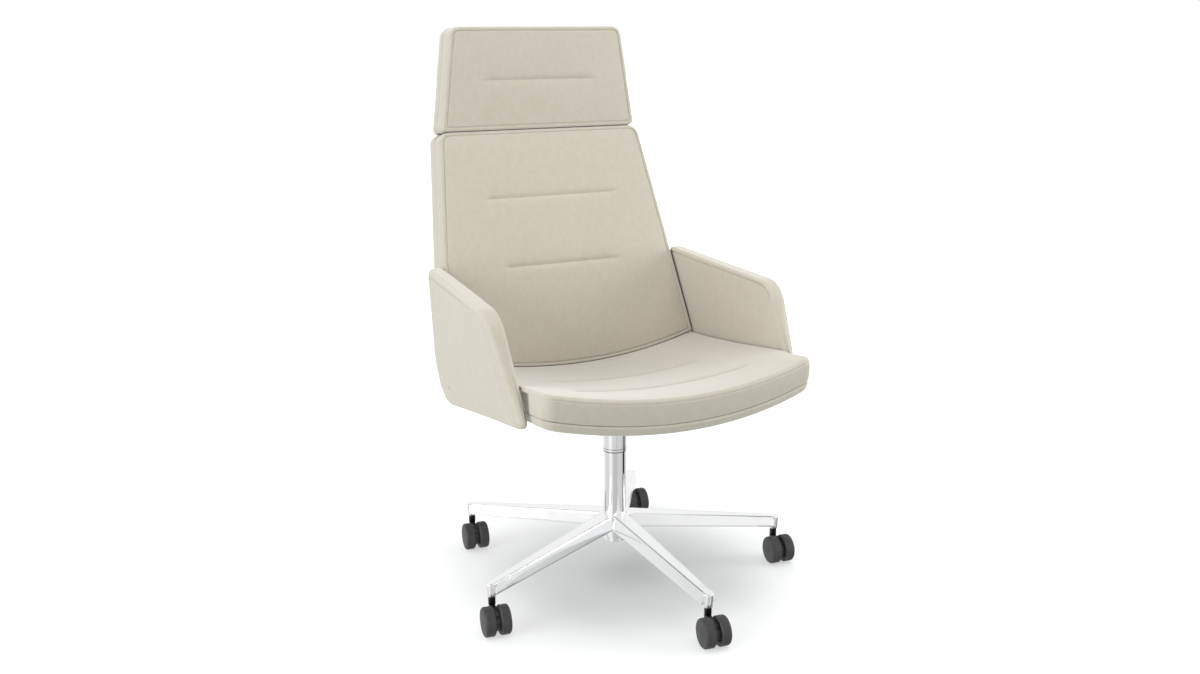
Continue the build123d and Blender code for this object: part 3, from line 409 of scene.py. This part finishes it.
def divided(length, cell, lines=(), tight=0.0012, spread_out=0.012):
    """Parameters from -1 to 1 over a length in metres, in steps of about one cell, closer near given
    places: the density of steps rises to one per tight length as a bell curve about each place."""
    fine = np.linspace(0.0, length, 4001)
    density = np.full(fine.size, 1.0 / cell)
    for line in lines:
        density += (1.0 / tight - 1.0 / cell) * np.exp(-(((fine - line) / spread_out) ** 2))
    count = np.concatenate([[0.0], np.cumsum((density[1:] + density[:-1]) / 2 * np.diff(fine))])
    total = int(round(count[-1]))
    return np.interp(np.linspace(0, count[-1], total + 1), count, fine) / length * 2 - 1


def puffed(place, size, steps, out, cap, cell=0.011, frames=20):
    """Swell of the face of a stuffed panel, as a function of a and b. A coarse copy of the skin is
    blown up as cloth with its rim and back held, and its rise along out, capped softly, is spread by
    a cubic spline."""
    columns = np.linspace(-1, 1, max(8, int(size[0] / cell)) + 1)
    rows = np.linspace(-1, 1, max(8, int(size[1] / cell)) + 1)
    coarse = closed_skin("swell", columns, rows, place, steps)
    a, b = (grid.ravel() for grid in np.meshgrid(columns, rows))
    total = len(coarse.data.vertices)
    hold = np.ones(total, bool)
    hold[: a.size] = (np.abs(a) == 1) | (np.abs(b) == 1)
    group = coarse.vertex_groups.new(name="held")
    group.add(np.flatnonzero(hold).tolist(), 1.0, "REPLACE")
    cloth = coarse.modifiers.new("cloth", "CLOTH").settings
    cloth.quality = 4
    cloth.mass = 0.3
    cloth.tension_stiffness = cloth.compression_stiffness = 40
    cloth.bending_stiffness = 2
    cloth.vertex_group_mass = "held"
    cloth.use_pressure = True
    cloth.uniform_pressure_force = 4
    cloth.effector_weights.gravity = 0
    coarse.modifiers["cloth"].collision_settings.use_collision = False
    before = np.empty(total * 3, np.float32)
    coarse.data.vertices.foreach_get("co", before)
    scene = bpy.context.scene
    for step in range(1, frames + 1):
        scene.frame_set(step)
    blown = coarse.evaluated_get(bpy.context.evaluated_depsgraph_get())
    after = np.empty(total * 3, np.float32)
    blown.data.vertices.foreach_get("co", after)
    scene.frame_set(1)
    rise = ((after - before).reshape(-1, 3)[: a.size] * out).sum(1)
    rise = (cap * np.tanh(np.maximum(rise, 0) / cap)).reshape(rows.size, columns.size)
    mesh = coarse.data
    bpy.data.objects.remove(coarse)
    bpy.data.meshes.remove(mesh)

    def weights(at, knots):
        """Cubic spline weights of the knots at each place, made to add up to 1."""
        t = np.abs(at[:, None] - knots[None, :]) / (knots[1] - knots[0])
        near = 2 / 3 - t * t + t**3 / 2
        far = np.clip(2 - t, 0, None) ** 3 / 6
        kernel = np.where(t < 1, near, far)
        return kernel / kernel.sum(1, keepdims=True)

    def swell(a, b):
        """Spline of the rise, taken to nothing at the border by 1 less the 40th power of a and of b."""
        whole_a, index_a = np.unique(a, return_inverse=True)
        whole_b, index_b = np.unique(b, return_inverse=True)
        field = weights(whole_b, rows) @ rise @ weights(whole_a, columns).T
        border = (1 - np.abs(a) ** 40) * (1 - np.abs(b) ** 40)
        return field[index_b, index_a] * border

    return swell


def rolled(top, top_radius, low, low_radius, bulge=0.001, seam=0.0):
    """Edge of a stuffed panel as steps of inset and height, from the face to the back: a quarter round
    with a sewn notch low on it, a side that swells by the bulge, and a quarter round below."""
    notch_turn, notch_half = 1.25, 0.12
    turn = np.linspace(0, np.pi / 2, 19)
    radius = top_radius - seam * np.exp(-(((turn - notch_turn) / notch_half) ** 2))
    ledge = top - top_radius
    steps = [(top_radius - r * math.sin(t), ledge + r * math.cos(t)) for r, t in zip(radius, turn)]
    side = np.linspace(ledge, low + low_radius, 9)[1:-1]
    share = (ledge - side) / (ledge - low - low_radius)
    steps += [(-bulge * math.sin(np.pi * s), h) for h, s in zip(side, share)]
    turn = np.linspace(np.pi / 2, 0, 8)
    steps += [(low_radius * (1 - math.sin(t)), low + low_radius * (1 - math.cos(t))) for t in turn]
    return steps


def upholster(thing, body, node):
    """Leather and body of an upholstered piece that stands for a CAD solid, whose own solid it hides."""
    thing.data.materials.append(leather)
    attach(thing, body)
    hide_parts(node)
    return thing


# sizes in metres, as the CAD solids have them but for the covers' reach towards the arms
seat_low = 0.42239
seat_front = -0.329
seat_slope = 0.10863
dish_radius = 1.17335
seat_rear = 0.240
front_corner, rear_corner = 0.020, 0.012
wing_half = 0.293
wing_end = (-0.236, -0.200)
side_half = 0.284
side_flat = 0.6
front_bow = 0.037
lip_half = 0.2950
lip_heights = (0.0525, 0.0565)
lip_flare = 0.0105
flare_run = (-0.05, 0.24)
lift_rear = 0.080
cushion_top = 0.063
cushion_low = 0.0205
cushion_depth = 0.0425


def seat_floor(x, y):
    """Underside of the seat: a plane that falls to the rear, dished across by a circle."""
    return seat_low - seat_slope * (y - seat_front) + dish_radius - np.sqrt(dish_radius**2 - x * x)


def eased(value, start, stop):
    """Smooth step from 0 at start to 1 at stop."""
    share = np.clip((value - start) / (stop - start), 0, 1)
    return share * share * (3 - 2 * share)


def seat_place(front, trim, lift=0.0, relief=None, slant=0.0):
    """Seat layer: a bowed front edge, a straight rear edge, and sides that step in behind the front
    wings to clear the arm brackets. Above the brackets the sides reach the arms, and the top lifts
    towards the front."""

    def place(a, b, step, face):
        inset, height = step
        reach = np.where(b < 0, front_corner, rear_corner)
        a1, b1 = rounded(a, b, reach / wing_half, 2 * reach / (seat_rear - front))
        below_top = np.clip((cushion_top - height) / cushion_depth, 0, 1)
        first = front + front_bow * a1 * a1 + inset + slant * below_top
        y = first + (seat_rear - inset - first) * (b1 + 1) / 2
        beside = eased(y, *wing_end)
        lip = eased(height, *lip_heights)
        side = side_half + (lip_half + lip_flare * eased(y, *flare_run) - side_half) * lip
        half = wing_half + (side - wing_half) * beside - trim - inset * (1 - side_flat * beside)
        x = a1 * half
        rise = lift * np.clip((lift_rear - y) / (lift_rear - seat_front), 0, None)
        rise = rise * np.clip((height - cushion_low) / cushion_depth, 0, 1)
        z = seat_floor(x, y) + height + rise
        if face > 0 and relief is not None:
            z = z + relief(x, y, a, b)
        return np.stack([x, y, z], -1)

    return place


pad_top = 0.0200
pad_cell = 0.008
pad_front = seat_front - 0.0075
pad_trim = 0.002
pad_steps = rolled(pad_top, 0.0020, 0.0, 0.012, 0.0012)
pad_columns = divided(2 * wing_half, pad_cell)
pad_rows = divided(seat_rear - seat_front, pad_cell)
seat_pad = closed_skin(
    "seat_pad_cover", pad_columns, pad_rows, seat_place(pad_front, pad_trim), pad_steps
)
upholster(seat_pad, "seat", "seat_pad")

# Seat cushion: the upper layer of the seat, a dished foam slab with a boxed edge, drawn down along
# two stitched lines across it. A seam joins it to the pad all round.
cushion_front = seat_front - 0.012
cushion_rise = 0.002
cushion_cell = 0.005
front_lift = 0.009
front_slant = 0.004
line_depth = 0.0056
line_reach = 0.0060
line_end, line_fade = 0.010, 0.026


def stitched(across, along, place_at, half, depth):
    """Furrow of a stitched line: an exponential fall to the line on both sides, fading out at its
    ends."""
    ends = eased(half + line_end - np.abs(across), 0.0, line_fade)
    return -depth * np.exp(-np.abs(along - place_at) / line_reach) * ends


seat_lines = ((-0.054, 0.171), (-0.210, 0.196))
cushion_steps = rolled(cushion_top, 0.0115, cushion_low, 0.0016, 0.001, 0.0012)
seat_out = np.array([0.0, 0.0, 1.0])
seat_size = (2 * wing_half, seat_rear - cushion_front)
plain_seat = seat_place(cushion_front, 0.0, front_lift, None, front_slant)
seat_swell = puffed(plain_seat, seat_size, cushion_steps, seat_out, cushion_rise)


def seat_relief(x, y, a, b):
    """Swell of the cushion less its two stitched lines."""
    lines = sum(stitched(x, y, at, half, line_depth) for at, half in seat_lines)
    return seat_swell(a, b) + lines


seat_columns = divided(seat_size[0], cushion_cell)
seat_rows = divided(seat_size[1], cushion_cell, [at - cushion_front for at, half in seat_lines], 0.002)
seat_cushion = closed_skin(
    "seat_cushion_cover", seat_columns, seat_rows,
    seat_place(cushion_front, 0.0, front_lift, seat_relief, front_slant), cushion_steps,
)
upholster(seat_cushion, "seat", "seat_cushion")

# Arm panels: foam on a plate, covered in three sewn pieces: the outer skin rolls round the front
# edge, a flat strip runs along the top, and the inner skin is seamed to it.
arm_low_front = np.array([-0.239, seat_low + 0.0185])
arm_high_front = np.array([-0.127, seat_low + 0.2195])
arm_low_rear = np.array([0.200, seat_low - 0.0345])
arm_high_rear = np.array([0.280, seat_low + 0.2415])
arm_length = 0.42
arm_height = 0.245
arm_seam = 0.0040
arm_rise = 0.002
arm_cell = 0.005

# corners seen from the side, low and high; rounds of the front, rear, low and high edges
arm_front_corners = (0.022, 0.042)
arm_rear_corners = (0.095, 0.020)
arm_outer_rounds = (0.020, 0.018, 0.008, 0.010)
arm_inner_rounds = (0.009, 0.005, 0.006, 0.006)
arm_rear_round, arm_rear_widening = 0.022, 0.028
arm_edge_reach = 0.16

# inner face at the front and at the rear edge, with what the height adds, and the panel's thickness
arm_front_half, arm_front_splay = 0.2945, 0.0090
arm_rear_half, arm_rear_lean = 0.3206, 0.0360
arm_hollow, arm_hollow_fade = 0.006, 0.7
arm_low_thick, arm_high_extra, arm_rear_thinning = 0.021, 0.017, 0.004
arm_outer_swell = 0.003


def arm_place(side, relief=None):
    """Arm panel: a four-sided side view, blended between its corners, with thickness out from its
    inner face, which leans in towards the top beside the back. Each edge is a quarter round outside
    and a tighter one inside."""

    def place(a, b, step, face):
        outer, inset_share, drop_share = step
        reach = np.where(a < 0, np.where(b < 0, *arm_front_corners), np.where(b < 0, *arm_rear_corners))
        a1, b1 = rounded(a, b, 2 * reach / arm_length, 2 * reach / arm_height)
        edges = ((1, a), (-1, a), (1, b), (-1, b))
        nearness = [np.exp(-(((1 + s * v) / arm_edge_reach) ** 2)) for s, v in edges]
        total = sum(n * n for n in nearness) + 1e-9
        drops = arm_outer_rounds if outer else arm_inner_rounds
        local = sum(n * n * r for n, r in zip(nearness, drops)) / total
        rear_round = arm_rear_round + arm_rear_widening * (1 - b) if outer else drops[1]
        rounds = (drops[0], rear_round, drops[2], drops[3])
        first, last, bottom, top = (inset_share * r for r in rounds)
        along = first / arm_length + (a1 + 1) / 2 * (1 - (first + last) / arm_length)
        up = bottom / arm_height + (b1 + 1) / 2 * (1 - (bottom + top) / arm_height)
        low = arm_low_front[None] + (arm_low_rear - arm_low_front)[None] * along[:, None]
        high = arm_high_front[None] + (arm_high_rear - arm_high_front)[None] * along[:, None]
        yz = low + (high - low) * up[:, None]
        front = arm_front_half + arm_front_splay * up
        rear = arm_rear_half - arm_rear_lean * up
        arch = np.sin(np.pi * np.clip(along, 0, 1))
        hollow = arm_hollow * arch * (1 - arm_hollow_fade * up)
        inner = front + (rear - front) * along - hollow
        thick = arm_low_thick + (arm_high_extra - arm_rear_thinning * along) * up
        if outer:
            swollen = arm_outer_swell * np.sin(np.pi * np.clip(up, 0, 1)) * arch
            x = inner + thick + swollen - drop_share * local
        else:
            x = inner + drop_share * local
        if face and relief is not None:
            x = x + relief(a, b, face)
        return np.stack([side * x, yz[:, 0], yz[:, 1]], -1)

    return place


turn = np.linspace(0, np.pi / 2, 14)
arm_steps = [(True, 1 - math.sin(t), 1 - math.cos(t)) for t in turn]
arm_steps += [(False, 1 - math.sin(t), 1 - math.cos(t)) for t in turn[::-1]]
arm_out = np.array([1.0, 0.0, 0.0])
arm_swell = puffed(arm_place(1), (arm_length, arm_height), arm_steps, arm_out, arm_rise)


def sewn(distance, depth=0.0024, half=0.0014):
    """Fine furrow of a seam at a distance from it, as a bell curve."""
    return depth * np.exp(-((distance / half) ** 2))


def arm_relief(a, b, face):
    """Outside, the swell less the seam under the top strip, which fades to the front. Inside, the seam
    under the same strip, which turns down at the front corner and ends there."""
    from_top = (1 - b) * arm_height / 2
    from_front = (1 + a) * arm_length / 2
    if face > 0:
        return arm_swell(a, b) - sewn(from_top - arm_seam) * eased(from_front, 0.03, 0.16)
    return sewn(np.minimum(from_top, from_front) - arm_seam) * eased(b, 0.55, 0.80)


arm_columns = divided(arm_length, arm_cell, [arm_seam], 0.0008, 0.006)
arm_rows = divided(arm_height, arm_cell, [arm_height - arm_seam], 0.0006, 0.006)
arms = []
for side, label in ((1, "left"), (-1, "right")):
    arm = closed_skin(
        f"arm_panel_cover_{label}", arm_columns, arm_rows, arm_place(side, arm_relief), arm_steps
    )
    arms.append(upholster(arm, "seat", f"arm_panel_{label}"))

# Back shell: the padded rear half of the back, on a moulded plate that the steel bars carry. Its
# leather wraps round the edge to the seam with the cushion and runs down behind the seat.
lean = math.radians(20.0)
back_seam = np.array([0.0, 0.23029, 0.45300])
back_up = np.array([0.0, math.sin(lean), math.cos(lean)])
back_out = np.array([0.0, -math.cos(lean), math.sin(lean)])
back_high = 0.5075
back_halves = (0.3065, 0.2450)
back_depth = 0.045
back_rear_rise = 0.16


def panel_place(
    seam, up, out, halves, edges, corners, relief, low_edge, front_limit=None, rear_rise=0.0
):
    """Leaning trapezoid panel with rounded corners, heights measured along its normal from the seam
    plane. Its lower edge follows a curve across it, its front may be cut back by a limit, and its top
    may rise to the rear."""
    half_low, half_high = halves
    low, high = edges

    def place(a, b, step, face):
        inset, height = step
        corner = np.where(b > 0, corners[1], corners[0])
        a2, b2 = rounded(a, b, corner / half_high, 2 * corner / (high - low))
        share = (b2 + 1) / 2
        bottom = low_edge(a2 * half_low, height)
        top = high + rear_rise * (back_depth - height)
        t = bottom + inset + (top - bottom - 2 * inset) * share
        half = half_low + (half_high - half_low) * t / high
        s = a2 * (half - inset)
        depth = height + np.zeros_like(s)
        if face > 0 and relief is not None:
            depth = depth + relief(s, t, a, b)
        if front_limit is not None:
            depth = np.minimum(depth, front_limit(s, t))
        return seam + s[:, None] * np.array([1.0, 0, 0]) + t[:, None] * up + depth[:, None] * out

    return place


shell_foot = 0.4055
shell_front = 0.2418
shell_edges = (-0.05, back_high)
shell_corners = (0.070, 0.016)
shell_depth = 0.046
shell_rise = 0.003
shell_size = (0.59, 0.55)
shell_cell = 0.006


def shell_low(s, height):
    """Lower edge of the shell: level, a hand's breadth below the seat top."""
    return (shell_foot - back_seam[2] - height * back_out[2]) / back_up[2] + 0 * s


def shell_limit(s, t):
    """The shell's front stays behind the seat's rear edge."""
    return np.minimum(0.0, (back_seam[1] + t * back_up[1] - shell_front) / -back_out[1])


def shell_place(relief=None):
    """Back shell, plain or with its relief."""
    return panel_place(
        back_seam, back_up, back_out, back_halves, shell_edges, shell_corners, relief,
        shell_low, shell_limit, back_rear_rise,
    )


shell_rim = rolled(shell_depth - shell_rise, 0.011, 0.0004, 0.003, 0.001)
shell_steps = [(inset, -height) for inset, height in shell_rim]
shell_swell = puffed(shell_place(), shell_size, shell_steps, -back_out, shell_rise)


def shell_relief(s, t, a, b):
    """Swell of the shell, to the rear."""
    return -shell_swell(a, b)


shell_columns, shell_rows = (divided(length, shell_cell) for length in shell_size)
back_shell = closed_skin(
    "back_shell_cover", shell_columns, shell_rows, shell_place(shell_relief), shell_steps
)
upholster(back_shell, "seat", "back_shell")

# Back cushion: a flat foam slab with a boxed edge, sewn to the shell along its rim and drawn in
# along two stitched lines. Its lower edge follows the dish of the seat.
back_rise = 0.003
back_lines = ((0.352, 0.162), (0.195, 0.142))
back_edges = (-0.04, back_high)
back_corners = (0.005, 0.024)
back_swell_size = (0.594, 0.546)
back_size = (0.53, 0.546)
back_gap = 0.0020
edge_seam = 0.0046
edge_cell = 0.005

# the seat's top along the back's front: its height there, its fall with depth, its share of length
seat_at_back, seat_by_depth, seat_by_length = -0.03916, 0.23994, 0.97684


def back_low(s, height):
    """Lower edge of the back cushion: a hair above the dished seat at that depth."""
    dish = dish_radius - np.sqrt(dish_radius**2 - s * s)
    seat_top = dish + seat_at_back + (back_depth - height) * seat_by_depth
    return seat_top / seat_by_length + back_gap


def back_place(relief=None):
    """Back cushion, plain or with its relief."""
    return panel_place(
        back_seam, back_up, back_out, back_halves, back_edges, back_corners, relief,
        back_low, None, back_rear_rise,
    )


def edged(length, lines=()):
    """Parameters over a length, closer near given lines and near the seam inside both ends."""
    return divided(length, edge_cell, [*lines, edge_seam, length - edge_seam], 0.0009, 0.007)


def from_edge(a, b, size):
    """Distance to the nearest edge of a panel of a size."""
    return np.minimum((1 - np.abs(a)) * size[0] / 2, (1 - np.abs(b)) * size[1] / 2)


back_steps = rolled(back_depth - back_rise, 0.004, 0.0004, 0.003, 0.001)
back_swell = puffed(back_place(), back_swell_size, back_steps, back_out, back_rise)


def back_relief(s, t, a, b):
    """Swell of the cushion less its two stitched lines and the seam inside its edge."""
    lines = sum(stitched(s, t, at, half, line_depth) for at, half in back_lines)
    return back_swell(a, b) + lines - sewn(from_edge(a, b, back_size) - edge_seam)


back_columns = edged(back_size[0])
back_rows = edged(back_size[1], [at - back_edges[0] for at, half in back_lines])
back_cushion = closed_skin(
    "back_cushion_cover", back_columns, back_rows, back_place(back_relief), back_steps
)
upholster(back_cushion, "seat", "back_cushion")

# Headrest: a smaller panel of the same make, shell and cushion sewn together, on two flat bars out
# of the back. One stitched line crosses the cushion.
head_lean = math.radians(3.1)
head_up = np.array([0.0, math.sin(head_lean), math.cos(head_lean)])
head_out = np.array([0.0, -math.cos(head_lean), math.sin(head_lean)])
head_depth = 0.048
head_shell_depth = 0.036
head_seam = np.array([0.0, 0.36106, 0.94887]) - head_depth * head_out
head_halves = (0.2375, 0.2066)
head_edges = (-0.002, 0.2230)
head_corners = (0.012, 0.019)
head_line = (0.107, 0.134)
head_rise = 0.003
head_rear_fall = 0.13
head_shell_size = (0.45, 0.221)
head_size = (0.442, 0.223)


def head_low(s, height):
    """Lower edge of the headrest: it falls a little to the rear, along the top of the back."""
    return head_edges[0] - head_rear_fall * (head_depth - height) + 0 * s


def head_place(relief=None):
    """Headrest shell or cushion, plain or with its relief."""
    return panel_place(
        head_seam, head_up, head_out, head_halves, head_edges, head_corners, relief, head_low
    )


head_shell_rim = rolled(head_shell_depth - head_rise, 0.009, 0.0004, 0.003, 0.001)
head_shell_steps = [(inset, -height) for inset, height in head_shell_rim]
head_shell_swell = puffed(head_place(), head_shell_size, head_shell_steps, -head_out, head_rise)


def head_shell_relief(s, t, a, b):
    """Swell of the shell, to the rear."""
    return -head_shell_swell(a, b)


shell_columns, shell_rows = (divided(length, shell_cell) for length in head_shell_size)
headrest_shell = closed_skin(
    "headrest_shell_cover", shell_columns, shell_rows, head_place(head_shell_relief), head_shell_steps
)
upholster(headrest_shell, "seat", "headrest_shell")

head_steps = rolled(head_depth - head_rise, 0.004, 0.0004, 0.003, 0.001)
head_swell = puffed(head_place(), head_shell_size, head_steps, head_out, head_rise)


def head_relief(s, t, a, b):
    """Swell of the cushion less its stitched line and the seam inside its edge."""
    line = stitched(s, t, *head_line, line_depth)
    return head_swell(a, b) + line - sewn(from_edge(a, b, head_size) - edge_seam)


head_columns = edged(head_size[0])
head_rows = edged(head_size[1], [head_line[0] - head_edges[0]])
headrest_cushion = closed_skin(
    "headrest_cushion_cover", head_columns, head_rows, head_place(head_relief), head_steps
)
upholster(headrest_cushion, "seat", "headrest_cushion")

# Reflections: the polished base mirrors the bright studio and not the seat above it, so the covers
# and every solid above the column are left out of what polished metal shows.
below = ("star", "caster", "stand", "column")
above_column = [thing for name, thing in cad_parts.items() if not name.startswith(below)]
covers = (seat_pad, seat_cushion, *arms, back_shell, back_cushion, headrest_shell, headrest_cushion)
for thing in (*above_column, *covers):
    thing.visible_glossy = False

# Studio: a white floor that keeps the chair's shadow and has a painted shadow pool, where its glow is
# lowered round the chair's foot, soft light from an overhead panel and two at the sides, and a white
# surround with a few dark gaps and a dark ceiling that only polished metal shows.
floor_half = 30.0
floor_glow = 0.57
painted_shadow_radius = 0.30
painted_shadow_centre = (0.03, -0.02)
painted_shadow_depth, painted_shadow_core = 0.33, 0.14
far_glow, far_reach = 0.5, 3.0
corners = np.array([[-1, -1], [1, -1], [1, 1], [-1, 1]]) * floor_half
floor_mesh = bpy.data.meshes.new("studio_floor")
floor_mesh.from_pydata([(x, y, 0.0) for x, y in corners], [], [(0, 1, 2, 3)])
floor = bpy.data.objects.new("studio_floor", floor_mesh)
bpy.context.scene.collection.objects.link(floor)
floor.visible_glossy = False
floor_paint, tree, shader = finish_of("floor_paint", (0.53, 0.555, 0.55), 0.9, Specular_IOR_Level=0.0)
path = add(tree, "LightPath")
seen = math_node(tree, "MAXIMUM", path.outputs["Is Camera Ray"], path.outputs["Is Glossy Ray"])
seen = math_node(tree, "MAXIMUM", seen, path.outputs["Is Transmission Ray"])
place = add(tree, "TexCoord")
axes = add(tree, "SeparateXYZ")
tree.links.new(place.outputs["Object"], axes.inputs["Vector"])
# painted shadow: the floor's glow is lowered in a broad pool and a tighter core about the chair's foot,
# and rises to white far off
from_x = math_node(tree, "SUBTRACT", axes.outputs["X"], painted_shadow_centre[0])
from_y = math_node(tree, "SUBTRACT", axes.outputs["Y"], painted_shadow_centre[1])
out_x = math_node(tree, "MULTIPLY", from_x, from_x)
out_y = math_node(tree, "MULTIPLY", from_y, from_y)
reach = math_node(tree, "ADD", out_x, out_y)
outer = math_node(tree, "POWER", math_node(tree, "DIVIDE", reach, painted_shadow_radius**2), 3.0)
outer = math_node(tree, "DIVIDE", painted_shadow_depth, math_node(tree, "ADD", outer, 1.0))
inner = math_node(tree, "EXPONENT", math_node(tree, "DIVIDE", reach, -(painted_shadow_radius / 3) ** 2))
inner = math_node(tree, "MULTIPLY", inner, painted_shadow_core)
glow_with_painted_shadow = math_node(tree, "SUBTRACT", math_node(tree, "SUBTRACT", floor_glow, outer), inner)
far = math_node(tree, "DIVIDE", reach, math_node(tree, "ADD", reach, far_reach))
glow_with_painted_shadow = math_node(tree, "ADD", glow_with_painted_shadow, math_node(tree, "MULTIPLY", far, far_glow))
glow_with_painted_shadow = math_node(tree, "MULTIPLY", seen, glow_with_painted_shadow)
shader.inputs["Emission Color"].default_value = (1, 1, 1, 1)
tree.links.new(glow_with_painted_shadow, shader.inputs["Emission Strength"])
floor_mesh.materials.append(floor_paint)

# surround: its light is stronger from behind; the gaps are levels by bearing, as parts of a turn
front_light, rear_light = 0.52, 1.15
wall_level, ceiling_level = 0.96, 0.03
bands = (
    (0.0, 0.78), (0.045, 1.0), (0.10, 1.0), (0.125, 0.62), (0.24, 0.58), (0.27, 0.70),
    (0.345, 0.70), (0.39, 0.66), (0.415, 0.55), (0.43, 0.03), (0.49, 0.03), (0.505, 0.70),
    (0.59, 0.75), (0.61, 1.0), (0.86, 1.0), (0.90, 0.75),
)
world = bpy.data.worlds.new("studio_surround")
bpy.context.scene.world = world
world.use_nodes = True
tree = world.node_tree
tree.nodes.clear()
output = add(tree, "OutputWorld")
soft_white = add(tree, "Background")
soft_white.inputs["Color"].default_value = (1.0, 0.995, 0.985, 1)
seen_white = add(tree, "Background")
path = add(tree, "LightPath")
toward = add(tree, "TexCoord")
axes = add(tree, "SeparateXYZ")
tree.links.new(toward.outputs["Generated"], axes.inputs["Vector"])
from_behind = spread(tree, axes.outputs["Y"], 0.0, 0.9, front_light, rear_light)
tree.links.new(from_behind, soft_white.inputs["Strength"])
bearing = math_node(tree, "ARCTAN2", axes.outputs["Y"], axes.outputs["X"])
bearing = math_node(tree, "DIVIDE", bearing, 2 * math.pi)
bearing = math_node(tree, "ADD", bearing, 0.5)
gaps = add(tree, "ValToRGB")
gaps.color_ramp.interpolation = "LINEAR"
stops = gaps.color_ramp.elements
for position, level in bands[2:]:
    stops.new(position)
for stop, (position, level) in zip(stops, bands):
    stop.position, stop.color = position, (level, level, level, 1)
tree.links.new(bearing, gaps.inputs["Fac"])
overhead = spread(tree, axes.outputs["Z"], -0.08, 0.04, 0.0, 1.0)
zenith = spread(tree, axes.outputs["Z"], 0.60, 0.70, 1.0, ceiling_level)
mirrored = add(tree, "MixRGB")
mirrored.inputs["Color2"].default_value = (1, 1, 1, 1)
tree.links.new(math_node(tree, "MAXIMUM", path.outputs["Is Camera Ray"], overhead), mirrored.inputs["Fac"])
tree.links.new(gaps.outputs["Color"], mirrored.inputs["Color1"])
tree.links.new(mirrored.outputs["Color"], seen_white.inputs["Color"])
shown = math_node(tree, "MULTIPLY", zenith, wall_level)
shown = math_node(tree, "MAXIMUM", shown, path.outputs["Is Camera Ray"])
tree.links.new(shown, seen_white.inputs["Strength"])
seen = math_node(tree, "MAXIMUM", path.outputs["Is Camera Ray"], path.outputs["Is Glossy Ray"])
seen = math_node(tree, "MAXIMUM", seen, path.outputs["Is Transmission Ray"])
either = add(tree, "MixShader")
tree.links.new(seen, either.inputs["Fac"])
tree.links.new(soft_white.outputs["Background"], either.inputs[1])
tree.links.new(seen_white.outputs["Background"], either.inputs[2])
tree.links.new(either.outputs["Shader"], output.inputs["Surface"])


def standing(right, above, back, position):
    """Matrix of a thing with these three axes at a position."""
    turn = np.eye(4)
    turn[:3, 0], turn[:3, 1], turn[:3, 2], turn[:3, 3] = right, above, back, position
    return Matrix(turn.tolist())


def light_panel(name, position, target, size, power):
    """Square lamp that faces a target."""
    lamp = bpy.data.lights.new(name, "AREA")
    lamp.shape = "SQUARE"
    lamp.size = size
    lamp.energy = power
    thing = bpy.data.objects.new(name, lamp)
    back = np.array(position) - np.array(target)
    back = back / np.linalg.norm(back)
    right = np.cross((0.0, 1.0, 0.001), back)
    right = right / np.linalg.norm(right)
    thing.matrix_world = standing(right, np.cross(back, right), back, position)
    bpy.context.scene.collection.objects.link(thing)


light_panel("overhead_panel", (0.5, -0.2, 3.2), (0.0, 0.0, 0.5), 2.2, 29.0)
light_panel("left_panel", (-3.0, -0.55, 1.2), (0.0, 0.0, 0.7), 2.0, 46.0)
light_panel("right_panel", (2.8, -1.3, 1.2), (0.0, 0.0, 0.9), 1.8, 37.0)
light_panel("low_fill", (-1.1, -2.4, 0.25), (0.0, -0.3, 0.35), 0.8, 4.0)

# Camera: at the photograph's viewing angle, at the height of the headrest, to the chair's right.
camera_place = np.array([-1.1185, -2.2103, 1.1514])
azimuth, elevation, roll = math.radians(-26.144), 0.2447, -0.0063
focal_length, frame_width, sensor = 1208.6066, 1200, 36.0
outward = math.cos(elevation)
back = np.array([math.sin(azimuth) * outward, -math.cos(azimuth) * outward, math.sin(elevation)])
level = np.array([math.cos(azimuth), math.sin(azimuth), 0.0])
above = np.cross(back, level)
right = math.cos(roll) * level + math.sin(roll) * above
above = -math.sin(roll) * level + math.cos(roll) * above
lens = bpy.data.cameras.new("studio_camera")
lens.sensor_fit = "HORIZONTAL"
lens.sensor_width = sensor
lens.lens = focal_length / frame_width * sensor
camera = bpy.data.objects.new("studio_camera", lens)
camera.matrix_world = standing(right, above, back, camera_place)
bpy.context.scene.collection.objects.link(camera)
bpy.context.scene.camera = camera
bpy.context.scene.view_settings.view_transform = "Standard"
